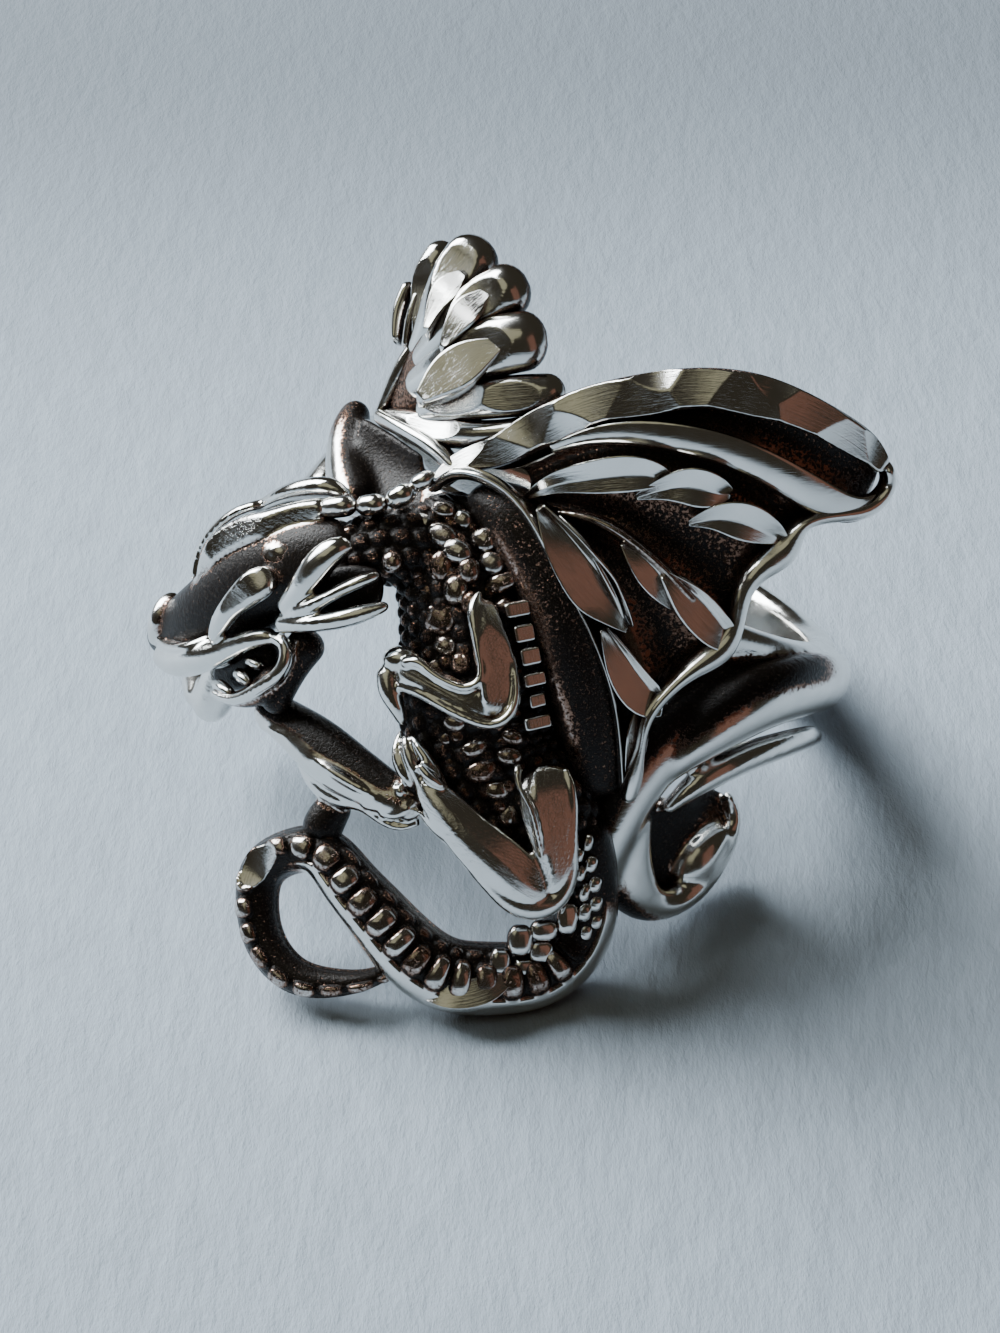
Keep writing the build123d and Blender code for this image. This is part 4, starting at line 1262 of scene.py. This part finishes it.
class OBJECT_OT_head(bpy.types.Operator):
    """Make the head with its crests, brow, cheek spikes, jaws and teeth"""

    bl_idname = "dragon_ring.head"
    bl_label = "Head"

    def execute(self, context):
        strands = [
            (SKULL, {"tarnish": 0.92, "around": 72}),
            (NEAR_CREST, {"cuts": CREST_CUTS, "around": 64}),
            (FAR_CREST, {}),
            (REAR_CREST, {}),
            (BROW, {"cuts": BROW_CUTS, "around": 64}),
            (CHEEK_PLATE, {"tarnish": 1.0}),
            (UPPER_LIP, {"power": 2.3}),
            (LIP_LINE, {}),
            (LOWER_LIP, {}),
            (LOWER_JAW, {"power": 2.3, "tarnish": 0.8}),
            (THROAT, {"tarnish": 0.8}),
            (NOSTRIL, {}),
        ]
        shells = [stroke(rows, facing=FACE_ON, **look) for rows, look in strands]
        shells.append(bead(*EYE_BEAD, 8, facing=FACE_ON))
        shells += [stroke(rows, facing=FACE_ON, power=1.8) for rows in CHEEK_SPIKES]
        shells = [fused(shells, reach=170), stroke(MOUTH, facing=FACE_ON, tarnish=1.0)]
        for root_x, root_y, tip_x, tip_y, half_width in TEETH:
            rows = (
                (root_x, root_y, TOOTH_ROOT_LIFT, half_width, 7),
                ((root_x + tip_x) / 2, (root_y + tip_y) / 2, TOOTH_LIFT, half_width, 7),
                (tip_x, tip_y, TOOTH_LIFT, half_width - 2, 5),
            )
            shells.append(stroke(rows, facing=FACE_ON, around=20, pitch=1.2))
        cast("head", shells)
        return {"FINISHED"}


class OBJECT_OT_near_wing(bpy.types.Operator):
    """Make the near wing: its dark skin, faceted leading band, leaf ribs and polished rim"""

    bl_idname = "dragon_ring.near_wing"
    bl_label = "Near Wing"

    def execute(self, context):
        shells = [
            slab(WING_SKIN, 22, 120, 110),
            stroke(WING_BAND, cuts=WING_BAND_CUTS, roots=0.8, around=72, pitch=1.6),
            stroke(RIDGE_A, around=64, lean=-0.9, power=1.9, roots=0.95),
            stroke(WING_RIM, roots=0.6),
        ]
        shells += [stroke(rows, valley=valley, pitch=1.8) for valley, rows in RIB_LEAVES]
        shells += [stroke(RIB_THREE, tarnish=0.35), stroke(RIB_FOUR_EDGE, around=24)]
        cast("near_wing", shells)
        return {"FINISHED"}


class OBJECT_OT_far_wing(bpy.types.Operator):
    """Make the far wing: a fan of lobes with bright cuts, its palm, stem and edge ridges"""

    bl_idname = "dragon_ring.far_wing"
    bl_label = "Far Wing"

    def execute(self, context):
        # The palm's half tarnish is a painted dull reflection, darker than the bright floor it mirrors
        shells = [stroke(FAR_PALM, tarnish=0.55, around=64), stroke(FAR_STEM), stroke(WING_YOKE)]
        for rows, cuts in zip(FAR_LOBES, FAR_LOBE_CUTS):
            shells.append(stroke(rows, cuts=cuts, roots=0.9, around=60, pitch=1.5))
        shells += [stroke(rows, valley=FAR_VALLEY, pitch=1.8) for rows in FAR_LEAVES]
        shells += [stroke(rows) for rows in FAR_EDGE_RIDGES]
        cast("far_wing", shells)
        return {"FINISHED"}


class OBJECT_OT_limbs(bpy.types.Operator):
    """Make the arm, hand, leg, foot and the far strut with its claws"""

    bl_idname = "dragon_ring.limbs"
    bl_label = "Limbs"

    def execute(self, context):
        planed = {"power": 2.4, "around": 72}
        strands = [
            (ARM, {"cuts": ARM_PLANES, **planed}),
            (FOREARM, {"cuts": FOREARM_PLANES, **planed}),
            (ARM_RIM, {}),
            (ARM_EDGE, {}),
            (THIGH, {"cuts": THIGH_PLANES, **planed}),
            (SHIN, {"cuts": SHIN_PLANES, **planed}),
            (LEG_RIM, {}),
            (KNEE_LINE, {"around": 24}),
            # The strut's dark face, all but its lower edge, is a painted dark reflection of the room
            (STRUT, {"power": 2.2, "tarnish": 0.80, "relief": painted_face_reflection, "around": 64}),
            (TAIL_LINK, {"tarnish": 0.9}),
        ]
        for rows in STRUT_EDGES + HAND_FINGERS + TOES + FAR_CLAWS:
            strands.append((rows, {"around": 28, "pitch": 1.6}))
        shells = [stroke(rows, facing=FACE_ON, **look) for rows, look in strands]
        cast("limbs", [fused(shells, rounding=2)])
        return {"FINISHED"}


class OBJECT_OT_tail(bpy.types.Operator):
    """Make the tail with its square scales, smooth ribbon and open loop"""

    bl_idname = "dragon_ring.tail"
    bl_label = "Tail"

    def execute(self, context):
        shells = [
            stroke(TAIL, facing=0.7, cuts=TAIL_CUTS, relief=tail_scales, tarnish=0.9, around=112, pitch=1.4),
            stroke(TAIL_LEAF, facing=0.8, valley=TAIL_VALLEY, around=64, pitch=1.2),
        ]
        look = {"power": 2.8, "roots": 1.0, "round_off": 0.7}
        for x, y, half_width, half_height in TAIL_CORNERS:
            shells.append(bead(x, y, HIP_LIFT, 1.1 * half_width, 1.1 * half_height, 8, **look))
        cast("tail", shells)
        return {"FINISHED"}


# Soft lights in metres: name, place, width and height, share of the window's strength, colour
LIGHTS = (
    ("window", (-0.26, 0.19, 0.27), (0.32, 0.32), 14.0, (0.92, 0.97, 1.0)),
    ("wall", (-0.19, -0.18, 0.37), (0.34, 0.32), 0.26, (1.0, 0.97, 0.66)),
    ("warm_card", (0.27, -0.26, 0.17), (0.22, 0.34), 0.078, (1.0, 0.42, 0.30)),
)
LIT_POINT = (0, 0, 0.010)
FLOOR_REACH = 1.2
ROOM_COLOUR = (0.38, 0.335, 0.25, 1)
ROOM_STRENGTH = 0.08
SENSOR_HEIGHT = 36.0
DRAWING_HEIGHT = 1333.0


def area_light(name, place, size, power, colour):
    """A rectangular lamp at a place, its -Z turned towards the lit point."""
    light = bpy.data.lights.new(name, "AREA")
    light.shape = "RECTANGLE"
    light.size, light.size_y = size
    light.energy = power
    light.color = colour
    lamp = bpy.data.objects.new(name, light)
    lamp.location = place
    lamp.rotation_euler = (Vector(LIT_POINT) - Vector(place)).to_track_quat("-Z", "Y").to_euler()
    bpy.context.scene.collection.objects.link(lamp)


def floor_plane():
    """The floor, a square with the origin in its middle."""
    mesh = bpy.data.meshes.new("floor")
    reach = FLOOR_REACH
    corners = [(-reach, -reach, 0), (reach, -reach, 0), (reach, reach, 0), (-reach, reach, 0)]
    mesh.from_pydata(corners, [], [(0, 1, 2, 3)])
    mesh.materials.append(cloth_finish())
    floor = bpy.data.objects.new("floor", mesh)
    bpy.context.scene.collection.objects.link(floor)


def view_camera():
    """The camera at the drawing's viewpoint, its focus the drawing's as a share of the drawing's height."""
    lens = bpy.data.cameras.new("camera")
    lens.sensor_fit = "VERTICAL"
    lens.sensor_height = SENSOR_HEIGHT
    lens.lens = SENSOR_HEIGHT * DRAWING_FOCUS / DRAWING_HEIGHT
    lens.clip_start, lens.clip_end = 0.005, 5.0
    camera = bpy.data.objects.new("camera", lens)
    axes = Matrix((FINGER @ np.stack([RIGHT, UP, TOWARDS], 1)).tolist())
    camera.matrix_world = Matrix.Translation(to_frame(VIEWPOINT)) @ axes.to_4x4()
    bpy.context.scene.collection.objects.link(camera)
    bpy.context.scene.camera = camera


class OBJECT_OT_stage(bpy.types.Operator):
    """Make the pale cloth floor, the soft lights and the camera"""

    bl_idname = "dragon_ring.stage"
    bl_label = "Stage"

    def execute(self, context):
        floor_plane()
        window_power = context.scene.dragon_ring_stage.window_power
        for name, place, size, share, colour in LIGHTS:
            area_light(name, place, size, share * window_power, colour)
        world = bpy.data.worlds.new("room")
        world.use_nodes = True
        room = world.node_tree.nodes["Background"].inputs
        room["Color"].default_value = ROOM_COLOUR
        room["Strength"].default_value = ROOM_STRENGTH
        context.scene.world = world
        view_camera()
        return {"FINISHED"}


class VIEW3D_PT_dragon_ring(bpy.types.Panel):
    """Lists the ring's pieces and settings"""

    bl_label = "Dragon Ring"
    bl_space_type = "VIEW_3D"
    bl_region_type = "UI"
    bl_category = "Dragon Ring"

    def draw(self, context):
        for operator in OPERATORS:
            self.layout.operator(operator.bl_idname)
        for group in (context.scene.dragon_ring_finish, context.scene.dragon_ring_stage):
            for key in group.__annotations__:
                self.layout.prop(group, key)


OPERATORS = (
    OBJECT_OT_band_and_shoulders,
    OBJECT_OT_body,
    OBJECT_OT_head,
    OBJECT_OT_near_wing,
    OBJECT_OT_far_wing,
    OBJECT_OT_limbs,
    OBJECT_OT_tail,
    OBJECT_OT_stage,
)
CLASSES = (RingFinish, StageSettings, *OPERATORS, VIEW3D_PT_dragon_ring)


def register():
    for item in CLASSES:
        bpy.utils.register_class(item)
    bpy.types.Scene.dragon_ring_finish = PointerProperty(type=RingFinish)
    bpy.types.Scene.dragon_ring_stage = PointerProperty(type=StageSettings)


def unregister():
    del bpy.types.Scene.dragon_ring_stage
    del bpy.types.Scene.dragon_ring_finish
    for item in reversed(CLASSES):
        bpy.utils.unregister_class(item)


def main():
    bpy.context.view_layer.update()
    register()
    for operator in OPERATORS:
        family, name = operator.bl_idname.split(".")
        getattr(getattr(bpy.ops, family), name)()


if __name__ == "__main__":
    main()
